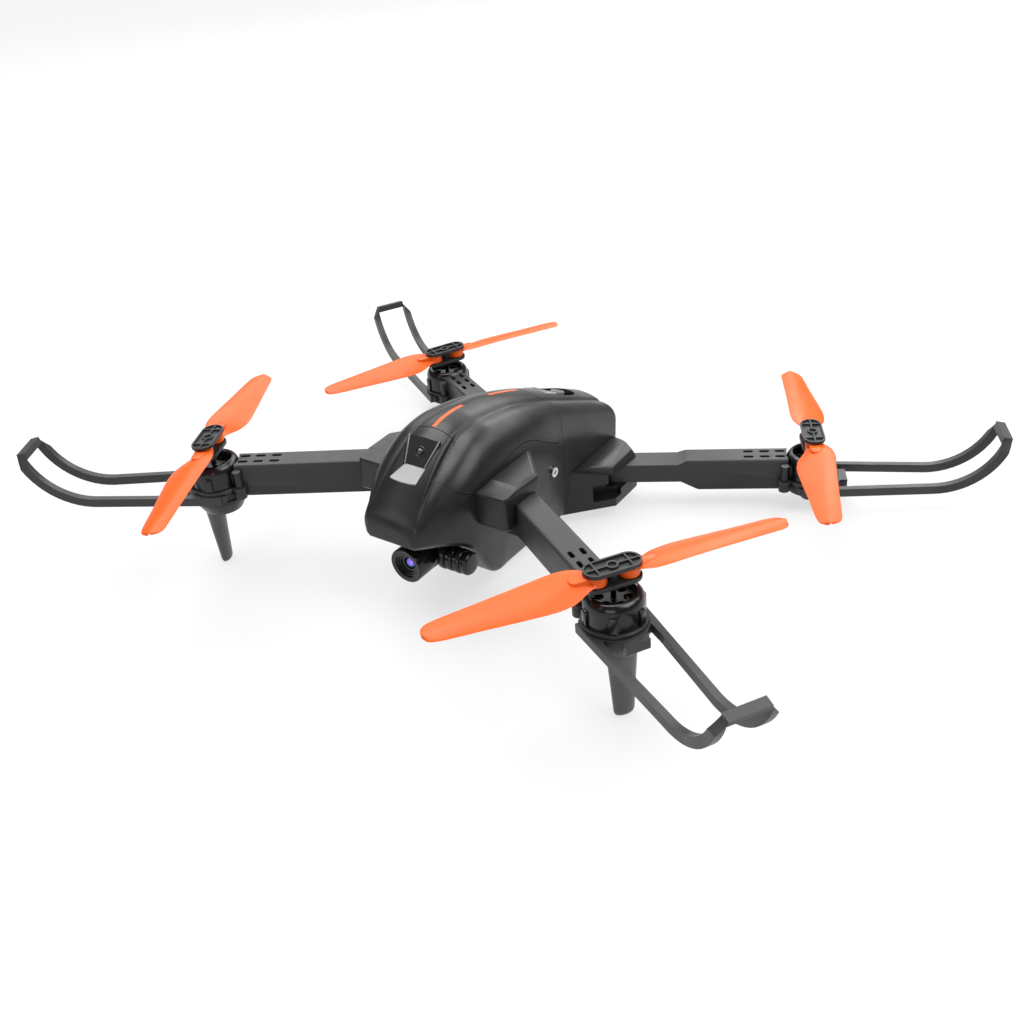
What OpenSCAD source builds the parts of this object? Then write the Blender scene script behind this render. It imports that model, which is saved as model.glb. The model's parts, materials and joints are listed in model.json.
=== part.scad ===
// Folding camera drone with clip-on propeller guards.
// +X is the drone's left, -Y is its nose, +Z is up, and z = 0 is the ground it stands on.

/* [Layout] */
// Sideways distance from the centreline to a front rotor
front_rotor_x = 101.65; // [100:0.05:104]
// Sideways distance from the centreline to a rear rotor
rear_rotor_x = 104.9; // [103:0.05:107]
// Distance between front and rear rotor axes
rotor_pitch_y = 166.8; // [165:0.1:168]
// Top of a front propeller hub above the ground
front_hub_z = 63.2; // [63:0.1:64]
// Top of a rear propeller hub above the ground
rear_hub_z = 35.0; // [34.6:0.1:35.2]
// Angle by which a front arm points forward of sideways
front_arm_angle = -30.9; // [-32:0.1:-30]
// Angle by which a rear arm points backward of sideways
rear_arm_angle = 28.4; // [27:0.1:29]

/* [Body] */
// Wall thickness of the moulded shells
wall = 1.8; // [1.5:0.1:2.2]
// Gap between two shells where they part
seam_gap = 0.3; // [0.2:0.05:0.4]
// Outermost reach of a front shoulder from the centreline
shoulder_x = 40; // [39:0.5:41]
// Outermost reach of a rear hinge housing from the centreline
housing_x = 34.5; // [34:0.5:35]
// Height of the flat belly above the ground
belly_z = 5; // [4:0.5:6]

/* [Arms] */
// Width of an arm
arm_w = 12; // [11:0.5:12.5]
// Sideways distance from the centreline to a front hinge pin
front_hinge_x = 33; // [32.5:0.5:33.5]
// Sideways distance from the centreline to a rear hinge pin
rear_hinge_x = 27; // [26.5:0.5:27.5]
// Radius of a hinge pin
hinge_pin_r = 2; // [1.8:0.1:2.2]

/* [Propellers] */
// Radius of a propeller, from its shaft to a blade tip
prop_r = 70; // [66:0.5:70]
// Distance from the shaft to a blade's pivot
pivot_r = 6.4; // [6.2:0.1:6.6]
// Radius of a blade's pivot pin
pivot_pin_r = 1.2; // [1:0.1:1.3]
// Radius of a motor shaft
shaft_r = 1; // [0.8:0.1:1.2]

/* [Camera] */
// Height of the camera's tilt axis above the ground
tilt_z = 24.8; // [24:0.1:25.5]
// Outer radius of the camera's front ring
camera_r = 7.4; // [7:0.1:7.6]

/* [Hidden] */
$fn = 64;

rotor_y = rotor_pitch_y / 2;
shell_colour = [0.17, 0.17, 0.18];
dark_colour = [0.08, 0.08, 0.09];
blade_colour = [1.0, 0.36, 0.05];
metal_colour = [0.75, 0.75, 0.77];

// ---- curves through a few key values -------------------------------------------------

function key_at(keys, y, i = 0) = i >= len(keys) - 2 || y < keys[i + 1][0] ? i : key_at(keys, y, i + 1);
function rise(keys, i, j) = (keys[j][1] - keys[i][1]) / (keys[j][0] - keys[i][0]);
function tangent(keys, i) = rise(keys, max(i - 1, 0), min(i + 1, len(keys) - 1));
function curve(keys, y) =
    let (i = key_at(keys, y), h = keys[i + 1][0] - keys[i][0],
         t = min(max((y - keys[i][0]) / h, 0), 1))
    keys[i][1] * (1 + 2 * t) * pow(1 - t, 2) + keys[i + 1][1] * t * t * (3 - 2 * t)
        + h * tangent(keys, i) * t * pow(1 - t, 2) - h * tangent(keys, i + 1) * t * t * (1 - t);

// ---- the body's skin -----------------------------------------------------------------
// Each key is [y, value]; the body's section at any y follows from the six curves.

nose_y = -86;
tail_y = 56;
spine_z = [[nose_y, 49.5], [-83.4, 53.5], [-79.4, 57.5], [-73.4, 63.2], [-65.4, 69.3], [-56.4, 74.4],
    [-48.4, 77.2], [-38, 77.9], [-30, 77], [-13.4, 73.8], [6.6, 67], [23.6, 59.6], [41.6, 51.6],
    [tail_y, 44.6]];
keel_z = [[nose_y, 43], [-84, 39.8], [-73.4, 36.6], [-61.4, 30.5], [-54, 21], [-46, 9],
    [-40.4, belly_z], [-34, belly_z], [50, belly_z], [tail_y, 7]];
ridge_x = [[nose_y, 11.5], [-84, 13], [-73.4, 11.6], [-57, 10.2], [-48, 9.6], [-20, 9.6], [10, 10.5],
    [tail_y, 11]];
side_x = [[nose_y, 12], [-84, 13.8], [-79, 16], [-72, 20], [-64, 23.2], [-56, 24.8], [-48, 25.3],
    [-25, 25.3], [-8, 24.3], [10.6, 22], [31.6, 20.6], [tail_y, 19.6]];
side_z = [[nose_y, 45], [-73, 47], [-58, 50], [-25, 50], [10, 45], [31, 40], [tail_y, 34]];
foot_x = [[nose_y, 10.5], [-84, 13], [-73, 17.5], [-61, 21.5], [-53, 20.5], [-45, 18.5], [-40, 18],
    [50, 18], [tail_y, 17]];
stations = [nose_y, -84.8, -83.4, -81, -78, -73.4, -69, -64, -59, -54, -50, -46, -43, -40.4, -36, -30,
    -22, -13, -4, 4, 10, 18, 28, 38, 48, tail_y];

ridge_drop = 2.6;
groove = 0.7;

// Half of the section at y, from the spine down to the keel, shrunk inwards by inset; the inside is coarser
function half_section(y, inset) =
    let (spine_steps = inset > 0 ? 2 : 3, cheek_steps = inset > 0 ? 3 : 6, side_steps = inset > 0 ? 2 : 4,
         top = curve(spine_z, y) - inset, low = curve(keel_z, y) + inset, rx = curve(ridge_x, y) - inset,
         sx = max(curve(side_x, y) - inset, rx + 0.4), sz = curve(side_z, y),
         fx = curve(foot_x, y) - inset, crease = top - ridge_drop - groove,
         mid = min(sz, crease - 2))
    concat(
        [for (i = [0:spine_steps]) let (t = 0.94 * i / spine_steps) [rx * t, top - ridge_drop * t * t]],
        [for (i = [0:cheek_steps])
            let (a = 90 * i / cheek_steps)
            [rx + (sx - rx) * pow(sin(a), 0.85), mid + (crease - mid) * pow(cos(a), 0.85)]],
        [for (i = [1:side_steps])
            let (t = i / side_steps)
            [sx + (fx - sx) * (0.35 * t + 0.65 * t * t), mid + (low + 2 - mid) * t]],
        [[fx - 2, low], [0, low]]);

function ring(y, inset) =
    let (half = half_section(y, inset), n = len(half))
    [for (i = [0:2 * n - 3])
        let (p = i < n ? half[i] : half[2 * n - 2 - i], side = i < n ? 1 : -1)
        [side * p[0], y, p[1]]];

// The triangles that close a ring of m points which is the same on both sides of its middle
function cap_faces(m) =
    [for (i = [0:m / 2 - 1]) let (a = i, b = i + 1, c = m - i - 1, d = (m - i) % m)
        each concat(b == c ? [] : [[a, b, c]], a == d ? [] : [[a, c, d]])];

// A closed solid through rings of the same number of points
module skin(rings) {
    m = len(rings[0]);
    last = (len(rings) - 1) * m;
    polyhedron(points = [for (r = rings) for (p = r) p],
        faces = concat(
            cap_faces(m),
            [for (i = [0:len(rings) - 2]) for (j = [0:m - 1])
                let (a = i * m + j, b = i * m + (j + 1) % m) each [[a, b + m, b], [a, a + m, b + m]]],
            [for (f = cap_faces(m)) [last + f[2], last + f[1], last + f[0]]]));
}

// The whole body as one solid, its skin moved inwards by inset
module body_solid(inset = 0) {
    from = nose_y + inset;
    to = tail_y - inset;
    every = inset > 0 ? 2 : 1;
    inner = [for (i = [0:every:len(stations) - 1])
        let (y = stations[i]) if (y > from + 0.4 && y < to - 0.4) y];
    skin([for (y = concat([from], inner, [to])) ring(y, inset)]);
}

// ---- places worked out from the driving sizes -----------------------------------------

front_arm_len = (front_rotor_x - front_hinge_x) / cos(front_arm_angle);
rear_arm_len = (rear_rotor_x - rear_hinge_x) / cos(rear_arm_angle);
front_hinge = [front_hinge_x, -rotor_y - front_arm_len * sin(front_arm_angle)];
rear_hinge = [rear_hinge_x, rotor_y - rear_arm_len * sin(rear_arm_angle)];
front_fold = 105;
rear_fold = -75;

// Heights below the hub's top face, the same on all four corners
hub_plate_t = 1.5;
hub_low_z = -7.5;
cap_top_z = -10.9;
arm_top_z = -11.8;
pod_rim_z = -21.8;
collar_z = -23.3;
arm_low_z = -27.2;
leg_top_z = -35;
neck_top_z = -13.7;
neck_low_z = -22.6;
pin_clear = 0.05;

cap_r = 11.2;
pod_r = 11.4;
collar_r = 12.4;
motor_bell_r = 8.4;
crater_r = 8.3;

camera_x = -1;
tilt_y = -63.7;
ring_y = -78;

module left() { children(); }
module right() { mirror([1, 0, 0]) children(); }
// Puts a corner's own frame (shaft at the origin, hub top at z = 0, +x outward) in its place
module front() {
    translate([front_rotor_x, -rotor_y, front_hub_z]) rotate([0, 0, front_arm_angle]) children();
}
module rear() { translate([rear_rotor_x, rotor_y, rear_hub_z]) rotate([0, 0, rear_arm_angle]) children(); }
// The same for a hub, whose own angle is given in the body's frame
module front_hub(angle) {
    translate([front_rotor_x, -rotor_y, front_hub_z]) rotate([0, 0, angle]) children();
}
module rear_hub(angle) { translate([rear_rotor_x, rotor_y, rear_hub_z]) rotate([0, 0, angle]) children(); }

// A side-view outline [y, z] swept across the body
module side_sweep(points, half_w = 60) {
    rotate([90, 0, 90]) translate([0, 0, -half_w]) linear_extrude(2 * half_w) polygon(points);
}

// ---- body -----------------------------------------------------------------------------

// Where the hood parts from the rest, seen from the side
hood_outline = [[-68.4, 66], [-66, 60], [-61, 57], [-52, 57.5], [-40, 60.5], [-28, 62], [-18, 60], [-8, 54],
    [0, 49.5], [4.5, 50.5], [8, 56], [10, 62.5], [7.5, 68], [7, 90], [-68.4, 90]];
pack_y = 6.8;
pack_outline = [[pack_y, 27.3], [70, 27.3], [70, 90], [7.6, 90], [8.1, 68], [10.4, 62.5], [8.4, 56],
    [pack_y, 50]];
visor_y = -51.4;
window_outline = [[-80, 62], [-64.2, 65], [-55.6, 73.8], [-55.6, 80], [-80, 80]];
window_back = [[-80, 60], [-63.4, 63.2], [-53.6, 72.6], [-53.6, 80], [-80, 80]];
window_half_w = 7.4;
deck_z = 25.5;

module hood_region(gap = 0) {
    difference() {
        side_sweep([for (p = hood_outline) p[1] < 89 ? [p[0], p[1] - gap] : p]);
        translate([gap - 10.7, -90, 50]) cube([21.4 - 2 * gap, 90 + visor_y - gap, 50]);
    }
}

module shoulder() {
    hull() {
        translate([18, -58.9, 42.5]) cube([shoulder_x - 20, 23.5, 12.5]);
        translate([18, -57.9, 41.5]) cube([shoulder_x - 18, 22.5, 14.5]);
        translate([18, -56.4, 55]) cube([shoulder_x - 20.5, 20.6, 2.9]);
    }
    // the roof runs back and inwards to meet the flank
    hull() {
        translate([0, 0, 53]) linear_extrude(1)
            polygon([[18, -50], [38, -50], [39, -36], [23.5, -19.5], [18, -19.5]]);
        translate([0, 0, 56.9]) linear_extrude(1)
            polygon([[18, -50], [38, -50], [39, -36], [23.8, -18.5], [18, -18.5]]);
    }
    hull() {
        translate([20, front_hinge[1] - 4, 31.8]) cube([4, 8, 3.8]);
        translate([front_hinge[0], front_hinge[1], 31.8]) cylinder(r = 4.2, h = 3.8, $fn = 32);
    }
}

module housing() {
    hull() {
        translate([0, 0, belly_z])
            linear_extrude(19) polygon([[14, 6.5], [18.4, 11.3], [housing_x, 28.4], [housing_x - 0.5, 48.5],
                [28, 51.5], [14, 51.5]]);
        translate([0, 0, 31])
            linear_extrude(1) polygon([[14, 9], [18.6, 12], [23.5, 22], [23.5, 49], [21, 51], [14, 51]]);
    }
}

// The space an arm sweeps as it folds about its hinge
module fold_pocket(hinge, start, fold, reach) {
    translate(hinge) {
        circle(r = arm_w / 2 + 1.1);
        for (i = [0:6])
            rotate(start + fold * i / 6) translate([0, -arm_w / 2 - 0.6]) square([reach, arm_w + 1.2]);
    }
}

module front_pocket() {
    translate([0, 0, front_hub_z + arm_low_z - 0.4])
        linear_extrude(arm_top_z - arm_low_z + 0.4 + seam_gap)
            fold_pocket(front_hinge, front_arm_angle, front_fold, 26);
}

module rear_pocket() {
    translate([0, 0, rear_hub_z + neck_low_z - 0.4])
        linear_extrude(neck_top_z - neck_low_z + 0.8) fold_pocket(rear_hinge, rear_arm_angle, rear_fold, 30);
}

module lower_hull() {
    color(shell_colour) difference() {
        union() {
            body_solid();
            for (m = [0, 1]) mirror([m, 0, 0]) { shoulder(); housing(); }
            translate([-13, -66.3, 32.1]) cube([26, 8.3, 4]);
        }
        difference() {
            body_solid(wall);
            side_sweep(window_back, window_half_w + wall);
            translate([-30, 5, deck_z]) cube([60, 60, 1.5]);
            for (x = [-19, 14.6], y = [-36, 32]) translate([x, y, 6]) cube([4.4, 4, 9.9]);
        }
        hood_region(seam_gap);
        side_sweep([[pack_y - seam_gap, 27], [70, 27], [70, 90], [pack_y - seam_gap, 90]]);
        side_sweep(window_outline, window_half_w);
        for (m = [0, 1]) mirror([m, 0, 0]) {
            front_pocket();
            rear_pocket();
            translate([front_hinge[0], front_hinge[1], 30]) cylinder(r = hinge_pin_r + 0.15, h = 26);
            translate([rear_hinge[0], rear_hinge[1], 8]) cylinder(r = hinge_pin_r + 0.15, h = 18);
            translate([21, -4.3, 37.5]) rotate([0, 90, 0]) cylinder(r = 2.5, h = 8);
        }
        translate([-14.2, -36.2, 0]) cube([28.4, 80.4, 12]);
        translate([-12, -66.5, 20]) cube([20.4, 6.9, 12.1]);
        // grooves in the keel above the camera
        for (x = [-8, -4, 0, 4, 8]) translate([x - 0.6, -66.5, 31]) cube([1.2, 7, 1.5]);
    }
}

module upper_canopy() {
    color(shell_colour) union() {
        intersection() {
            difference() { body_solid(); body_solid(wall); }
            hood_region();
        }
        // snap hooks that hang from the hood's inner face
        for (m = [0, 1], y = [-42, -30]) mirror([m, 0, 0]) hull() {
            translate([curve(side_x, y) - 5.2, y - 2, 60]) cube([1.4, 4, 4]);
            translate([curve(side_x, y) - 5.4, y - 2, 64]) cube([1.6, 4, 2]);
        }
    }
}

module belly_plate() {
    color(dark_colour) difference() {
        translate([-14, -36, belly_z]) cube([28, 80, 1.6]);
        for (x = [-11.5, 11.5], y = [-32, 40]) translate([x, y, belly_z - 1]) cylinder(r = 1.1, h = 4);
        translate([0, -14, belly_z - 1]) cylinder(r = 4.1, h = 4);
        for (i = [0:4]) translate([-9, 8 + 5 * i, belly_z - 1]) cube([18, 2, 4]);
    }
}

module flow_sensor() {
    color("black") translate([0, -14, 0]) difference() {
        union() {
            translate([0, 0, belly_z + 0.3]) cylinder(r = 4, h = 7);
            translate([-6, -6, belly_z + 1.7]) cube([12, 12, 1.2]);
        }
        translate([0, 0, belly_z]) cylinder(r = 2.4, h = 1.5);
    }
}

// The slanted panel's own frame: x across, y up the panel, z out of it
module on_panel() { translate([0, -63.9, 65.3]) rotate([45.7, 0, 0]) children(); }

module nose_sensor_panel() {
    color("dimgray") on_panel() difference() {
        translate([-7.2, 0.2, 0.1]) cube([14.4, 11, 0.9]);
        translate([0, 5.6, -1]) cylinder(r = 1.9, h = 4);
    }
}

module nose_sensor_lens() {
    color("gray") on_panel() translate([0, 5.6, 0.1]) {
        cylinder(r = 1.8, h = 1.5);
        translate([0, 0, 1.5]) cylinder(r1 = 1.2, r2 = 0.8, h = 0.4);
    }
}

module main_board() {
    color("darkgreen") translate([-15.5, -38, 15.95]) cube([31, 74, 1.6]);
    color("black") {
        translate([-6, -20, 17.55]) cube([12, 12, 1.2]);
        translate([-10, 4, 17.55]) cube([8, 8, 1]);
        translate([3, 6, 17.55]) cube([7, 5, 1]);
        translate([-8, 24, 17.55]) cube([16, 5, 5]);
    }
}

module hull_screws() {
    color(metal_colour) {
        for (m = [0, 1]) mirror([m, 0, 0]) translate([22.4, -4.3, 37.5]) rotate([0, 90, 0]) difference() {
            cylinder(r = 2.2, h = 2.2);
            for (a = [0, 90]) rotate([0, 0, a]) translate([-1.4, -0.3, 1.5]) cube([2.8, 0.6, 2]);
        }
        for (x = [-11.5, 11.5], y = [-32, 40]) translate([x, y, belly_z]) difference() {
            cylinder(r = 1, h = 5);
            translate([-0.7, -0.2, -0.1]) cube([1.4, 0.4, 0.6]);
        }
    }
}

module hinge_pins() {
    color(metal_colour) for (m = [0, 1]) mirror([m, 0, 0]) {
        translate([front_hinge[0], front_hinge[1], 32]) cylinder(r = hinge_pin_r, h = 23.8);
        translate([rear_hinge[0], rear_hinge[1], 8.2]) cylinder(r = hinge_pin_r, h = 17.6);
    }
}

// ---- battery --------------------------------------------------------------------------

pack_slope = -23.3;
catch_y = 24;
button_y = 37;

// A frame on the battery's sloping back: y runs rearward down the slope, z out of it
module on_back(y) { translate([0, y, curve(spine_z, y)]) rotate([pack_slope, 0, 0]) children(); }

module battery_case() {
    color(shell_colour) difference() {
        union() {
            intersection() { body_solid(); side_sweep(pack_outline); }
            translate([-13.5, -30, 30]) cube([27, 40, 23.5]);
            // guide rails under the tongue
            for (x = [-12, -6, 6, 12], y = [-28, -12]) hull() {
                translate([x - 0.8, y, 28.6]) cube([1.6, 12, 2]);
                translate([x - 0.5, y + 1, 28.2]) cube([1, 10, 2]);
            }
        }
        translate([-12.3, -28.3, 31.2]) cube([24.6, 60.2, 18.6]);
        // the terminal slots in the tongue's front end
        for (x = [-9, -3, 3, 9]) translate([x - 1.2, -31, 33]) cube([2.4, 4, 6]);
        on_back(31) translate([-8, -13, -3.2]) cube([16, 27, 10]);
        on_back(button_y) translate([0, 0, -5.6]) cylinder(r = 3.5, h = 6);
    }
}

module battery_cells() {
    color("silver") for (z = [31.4, 40.7]) translate([-12, -28, z]) {
        cube([24, 59.5, 8.8]);
    }
}

module battery_latch() {
    color("gray") on_back(catch_y) difference() {
        translate([-6.5, -4.6, -2.9]) cube([13, 8.4, 2.5]);
        for (i = [0:3]) translate([-5, -3.2 + 1.8 * i, -0.9]) cube([10, 0.8, 2]);
    }
}

module power_button() {
    color("dimgray") on_back(button_y) translate([0, 0, -4.4]) {
        cylinder(r = 3.3, h = 3.4);
        translate([0, 0, 3.4]) difference() {
            cylinder(r = 3, h = 0.4);
            cylinder(r = 2.2, h = 1, center = true);
        }
    }
}

// ---- camera ---------------------------------------------------------------------------

module along_x(x) { translate([x, tilt_y, tilt_z]) rotate([0, 90, 0]) children(); }

module camera_bracket() {
    color(dark_colour) difference() {
        union() {
            translate([-11.8, tilt_y - 2.6, 30.6]) cube([20, 6.4, 1.4]);
            for (x = [-11.8, 6.6]) {
                translate([x, tilt_y - 2.6, tilt_z]) cube([1.6, 6.1, 6.5]);
                along_x(x) cylinder(r = 3.5, h = 1.6);
            }
        }
        along_x(-20) cylinder(r = 1.2 + pin_clear, h = 40);
    }
}

module camera_housing() {
    color(dark_colour) difference() {
        union() {
            translate([camera_x, ring_y + 11, tilt_z]) rotate([90, 0, 0]) cylinder(r = camera_r, h = 11);
            along_x(camera_x - 6) cylinder(r = 5, h = 12);
            translate([camera_x - 6, ring_y + 8, tilt_z - 5]) cube([12, -ring_y - 8 + tilt_y, 10]);
            along_x(-11.6) cylinder(r = 1.2, h = 19.6);
        }
        translate([camera_x, ring_y - 1, tilt_z]) rotate([-90, 0, 0]) {
            cylinder(r = 5.6, h = 2);
            cylinder(r = 4.6, h = 8);
        }
    }
}

module camera_lens_barrel() {
    color("black") translate([camera_x, ring_y, tilt_z]) rotate([-90, 0, 0]) rotate_extrude()
        polygon([[2.6, 1.2], [3.3, 1.2], [3.3, 0.9], [3.9, 0.9], [3.9, 0.6], [4.5, 0.6], [4.5, 6.5],
            [0, 6.5], [0, 4.5], [2.6, 4.5]]);
}

module camera_lens_glass() {
    color("mediumpurple") translate([camera_x, ring_y, tilt_z]) rotate([-90, 0, 0]) rotate_extrude()
        polygon([[0, 2], [1, 2.1], [1.8, 2.4], [2.5, 3], [2.5, 4.4], [0, 4.4]]);
}

module tilt_motor() {
    color(dark_colour) along_x(0) rotate_extrude()
        polygon([[0, 8.3], [4.6, 8.3], [4.6, 10.6], [3.7, 10.9], [3.7, 12], [4.4, 12.3], [4.4, 14.4],
            [3.7, 14.7], [3.7, 15.8], [4.4, 16.1], [4.4, 18.2], [3.7, 18.5], [3.7, 19.2], [4.2, 19.6],
            [4.2, 21.2], [3.4, 22], [0, 22.3]]);
}

// ---- arms -----------------------------------------------------------------------------

beam_end = -10.6;
slot_rows = [-2.4, 2.4];
slot_places = [-28, -20.8, -13.9];

module section_sweep(from, to, points) {
    translate([from, 0, 0]) rotate([90, 0, 90]) linear_extrude(to - from) polygon(points);
}

module arm_section_sweep(len) {
    h = arm_w / 2;
    section_sweep(-len - 10, 0, [[-h, arm_low_z + 1], [1 - h, arm_low_z], [h - 1, arm_low_z],
        [h, arm_low_z + 1], [h, arm_top_z - 1.5], [h - 1.5, arm_top_z], [1.5 - h, arm_top_z],
        [-h, arm_top_z - 1.5]]);
}

module arm_side(points) {
    translate([0, arm_w / 2, 0]) rotate([90, 0, 0]) linear_extrude(arm_w) polygon(points);
}

// What both kinds of arm share round the motor
module pod() {
    translate([0, 0, arm_low_z - 0.2]) cylinder(r = pod_r, h = pod_rim_z - arm_low_z + 0.2);
    translate([0, 0, collar_z]) cylinder(r = collar_r, h = pod_rim_z - collar_z);
    translate([-12.1, -8, -26.4]) cylinder(r = 2.55, h = 4.8);
    translate([-12.1, -8, -22]) cylinder(r = 1.5, h = 8.4);
}

module pod_cuts() {
    translate([0, 0, arm_low_z + 1.2]) cylinder(r = 9.8, h = 30);
    translate([0, 0, pod_rim_z]) cylinder(r = cap_r + 0.15, h = 20);
    for (u = slot_places, v = slot_rows) translate([u - 2.1, v - 0.85, arm_top_z - 2]) cube([4.2, 1.7, 3]);
}

module front_arm() {
    len = front_arm_len;
    color(shell_colour) difference() {
        union() {
            intersection() {
                arm_section_sweep(len);
                arm_side([[-len, arm_low_z], [beam_end, arm_low_z], [beam_end, arm_top_z],
                    [-len, arm_top_z]]);
            }
            translate([-len, 0, arm_low_z]) cylinder(r = arm_w / 2, h = arm_top_z - arm_low_z);
            pod();
        }
        pod_cuts();
        translate([12 - len, -4.4, arm_low_z + 1.4]) cube([len - 14, 8.8, arm_top_z - arm_low_z - 3]);
        translate([-len, 0, arm_low_z - 1]) cylinder(r = hinge_pin_r + pin_clear, h = 30);
    }
}

module rear_arm() {
    len = rear_arm_len;
    color(shell_colour) difference() {
        union() {
            intersection() {
                arm_section_sweep(len);
                arm_side([[-len, neck_low_z], [-58.6, neck_low_z], [-50, arm_low_z], [beam_end, arm_low_z],
                    [beam_end, arm_top_z], [-55.5, arm_top_z], [-60, neck_top_z], [-len, neck_top_z]]);
            }
            translate([-len, 0, neck_low_z]) cylinder(r = arm_w / 2, h = neck_top_z - neck_low_z);
            pod();
        }
        pod_cuts();
        translate([-52, -4.4, arm_low_z + 2.6]) cube([50, 8.8, arm_top_z - arm_low_z - 4.2]);
        translate([-len, 0, arm_low_z - 1]) cylinder(r = hinge_pin_r + pin_clear, h = 30);
    }
}

module pod_cap() {
    lug_count = 6;
    color(dark_colour) difference() {
        union() {
            rotate_extrude()
                polygon([[cap_r, pod_rim_z + 0.1], [cap_r, -14.6], [10.8, -13], [9.9, -11.6], [9, -11],
                    [crater_r, cap_top_z],
                    [7.7, -11.6], [7.7, -12.8], [9.8, -15], [10, -16], [10, pod_rim_z + 0.1]]);
            for (i = [0:lug_count - 1]) rotate([0, 0, 30 + i * 360 / lug_count])
                translate([cap_r - 0.6, -1.6, -21.4]) cube([1.5, 3.2, 7.6]);
        }
        translate([-30, -arm_w / 2 - 0.2, -40]) cube([19.4, arm_w + 0.4, 40]);
    }
}

module pod_cover(points) {
    color(dark_colour) rotate_extrude() polygon(points);
}

module front_pod_cover() {
    pod_cover([[0, arm_low_z - 0.3], [12.2, arm_low_z - 0.3], [12, -29], [8.7, leg_top_z], [0, leg_top_z]]);
}

// A shallow dish with the small foot that the tail end stands on
module rear_pod_cover() {
    pod_cover([[0, arm_low_z - 0.3], [11.3, arm_low_z - 0.3], [10.9, -28.6], [9.4, -29.4], [4.4, -29.8],
        [4, 1 - rear_hub_z], [3, -rear_hub_z], [0, -rear_hub_z]]);
}

module leg() {
    color(dark_colour) translate([4.5, 0, 0]) {
        hull() for (v = [-2.6, 2.6]) {
            translate([0, v * 0.8, leg_top_z - 0.6]) cylinder(r = 3.9, h = 0.55, $fn = 32);
            translate([0, v * 0.75, 1 - front_hub_z]) cylinder(r = 2.4, h = 1, $fn = 32);
            translate([0, v * 0.72, -front_hub_z]) cylinder(r = 1.9, h = 1, $fn = 32);
        }
    }
}

// ---- guards ---------------------------------------------------------------------------

rail_t = 3.9;
rail_z = -25.45;
bend_r = 31;
bend_u = 52;
bend_angle = 77;
rail_in = 8;
rail_out = 11;
tip_half_w = 7.6;

bend_steps = 14;
tip_low_z = -4;

// Points along the upward bend at radius r, from the straight rails to the tip
function bend(r) = [for (i = [0:bend_steps]) let (a = bend_angle * i / bend_steps)
    [bend_u + r * sin(a), rail_z + bend_r - r * cos(a)]];
function backwards(list) = [for (i = [len(list) - 1:-1:0]) list[i]];

module guard() {
    low = rail_z - rail_t / 2;
    side_view = concat([[-4.5, low + rail_t], [-4.5, low]], bend(bend_r + rail_t / 2),
        backwards(bend(bend_r - rail_t / 2)));
    color(shell_colour) difference() {
        union() {
            intersection() {
                translate([0, 20, 0]) rotate([90, 0, 0]) linear_extrude(40) polygon(side_view);
                translate([0, 0, -40]) linear_extrude(60)
                    polygon([[-4.5, -13.4], [bend_u, -rail_out], [90, -rail_out], [90, rail_out],
                        [bend_u, rail_out], [-4.5, 13.4]]);
                // the tip's clipped corners, seen along the arm
                section_sweep(-10, 95, [[-20, -40], [20, -40], [20, -9], [rail_out, -7.5], [tip_half_w, -2.5],
                    [tip_half_w, 5], [-tip_half_w, 5], [-tip_half_w, -2.5], [-rail_out, -7.5], [-20, -9]]);
            }
            translate([0, 0, low + 0.3]) rotate([0, 0, -120])
                rotate_extrude(angle = 240) translate([11.1, 0]) square([1.8, rail_t - 0.6]);
            // the spout-like tab at the outer end
            translate([0, 0, low + 0.15]) linear_extrude(rail_t - 0.3)
                polygon([[11.2, -4.5], [13, -4.2], [16.2, 0.2], [16.2, 5.5], [11.2, 5.5]]);
        }
        difference() {
            union() {
                translate([0, 0, -40]) linear_extrude(60)
                    polygon([[-6, -10.87], [bend_u, -rail_in], [bend_u, rail_in], [-6, 10.87]]);
                translate([bend_u - 0.01, -rail_in, -40]) cube([50, 2 * rail_in, 40 + tip_low_z]);
            }
            translate([0, 0, -50]) cylinder(r = 16.9, h = 80);
        }
        translate([0, 0, -40]) cylinder(r = 11.6, h = 30);
        // the gap between the tab and the rails
        for (m = [0, 1]) mirror([0, m, 0]) translate([0, 0, -40]) linear_extrude(60)
            polygon([[13.2, 5.5 - 1.3 * m], [17.5, 5.5 - 1.3 * m], [17.5, 9.8], [9, 9.8], [9, 9.2]]);
        translate([16.2, -6, -40]) cube([2, 12, 60]);
    }
}

// ---- motors and hubs ------------------------------------------------------------------

module motor_stator() {
    color("peru") difference() {
        union() {
            translate([0, 0, arm_low_z + 1.3]) cylinder(r = 3, h = 10);
            for (a = [0:40:320]) rotate([0, 0, a]) {
                translate([2, -0.8, -23]) cube([4.6, 1.6, 6]);
                translate([5.6, -1.9, -23]) cube([1.4, 3.8, 6]);
            }
        }
        translate([0, 0, -40]) cylinder(r = shaft_r + pin_clear, h = 40);
    }
}

module motor_bell() {
    color(metal_colour) {
        difference() {
            translate([0, 0, -24.4]) cylinder(r = motor_bell_r, h = 10.6);
            translate([0, 0, -25]) cylinder(r = motor_bell_r - 0.6, h = 10);
            for (a = [0:60:300]) rotate([0, 0, a]) translate([5.2, 0, -16]) cylinder(r = 1.7, h = 4);
        }
        translate([0, 0, -25.9]) cylinder(r = shaft_r, h = 19.7);
    }
}

module stadium(r, z, h) {
    translate([0, 0, z]) {
        for (u = [-6.3, 6.3]) translate([u, 0, 0]) cylinder(r = r, h = h);
        translate([-6.3, -r, 0]) cube([12.6, 2 * r, h]);
    }
}

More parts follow.
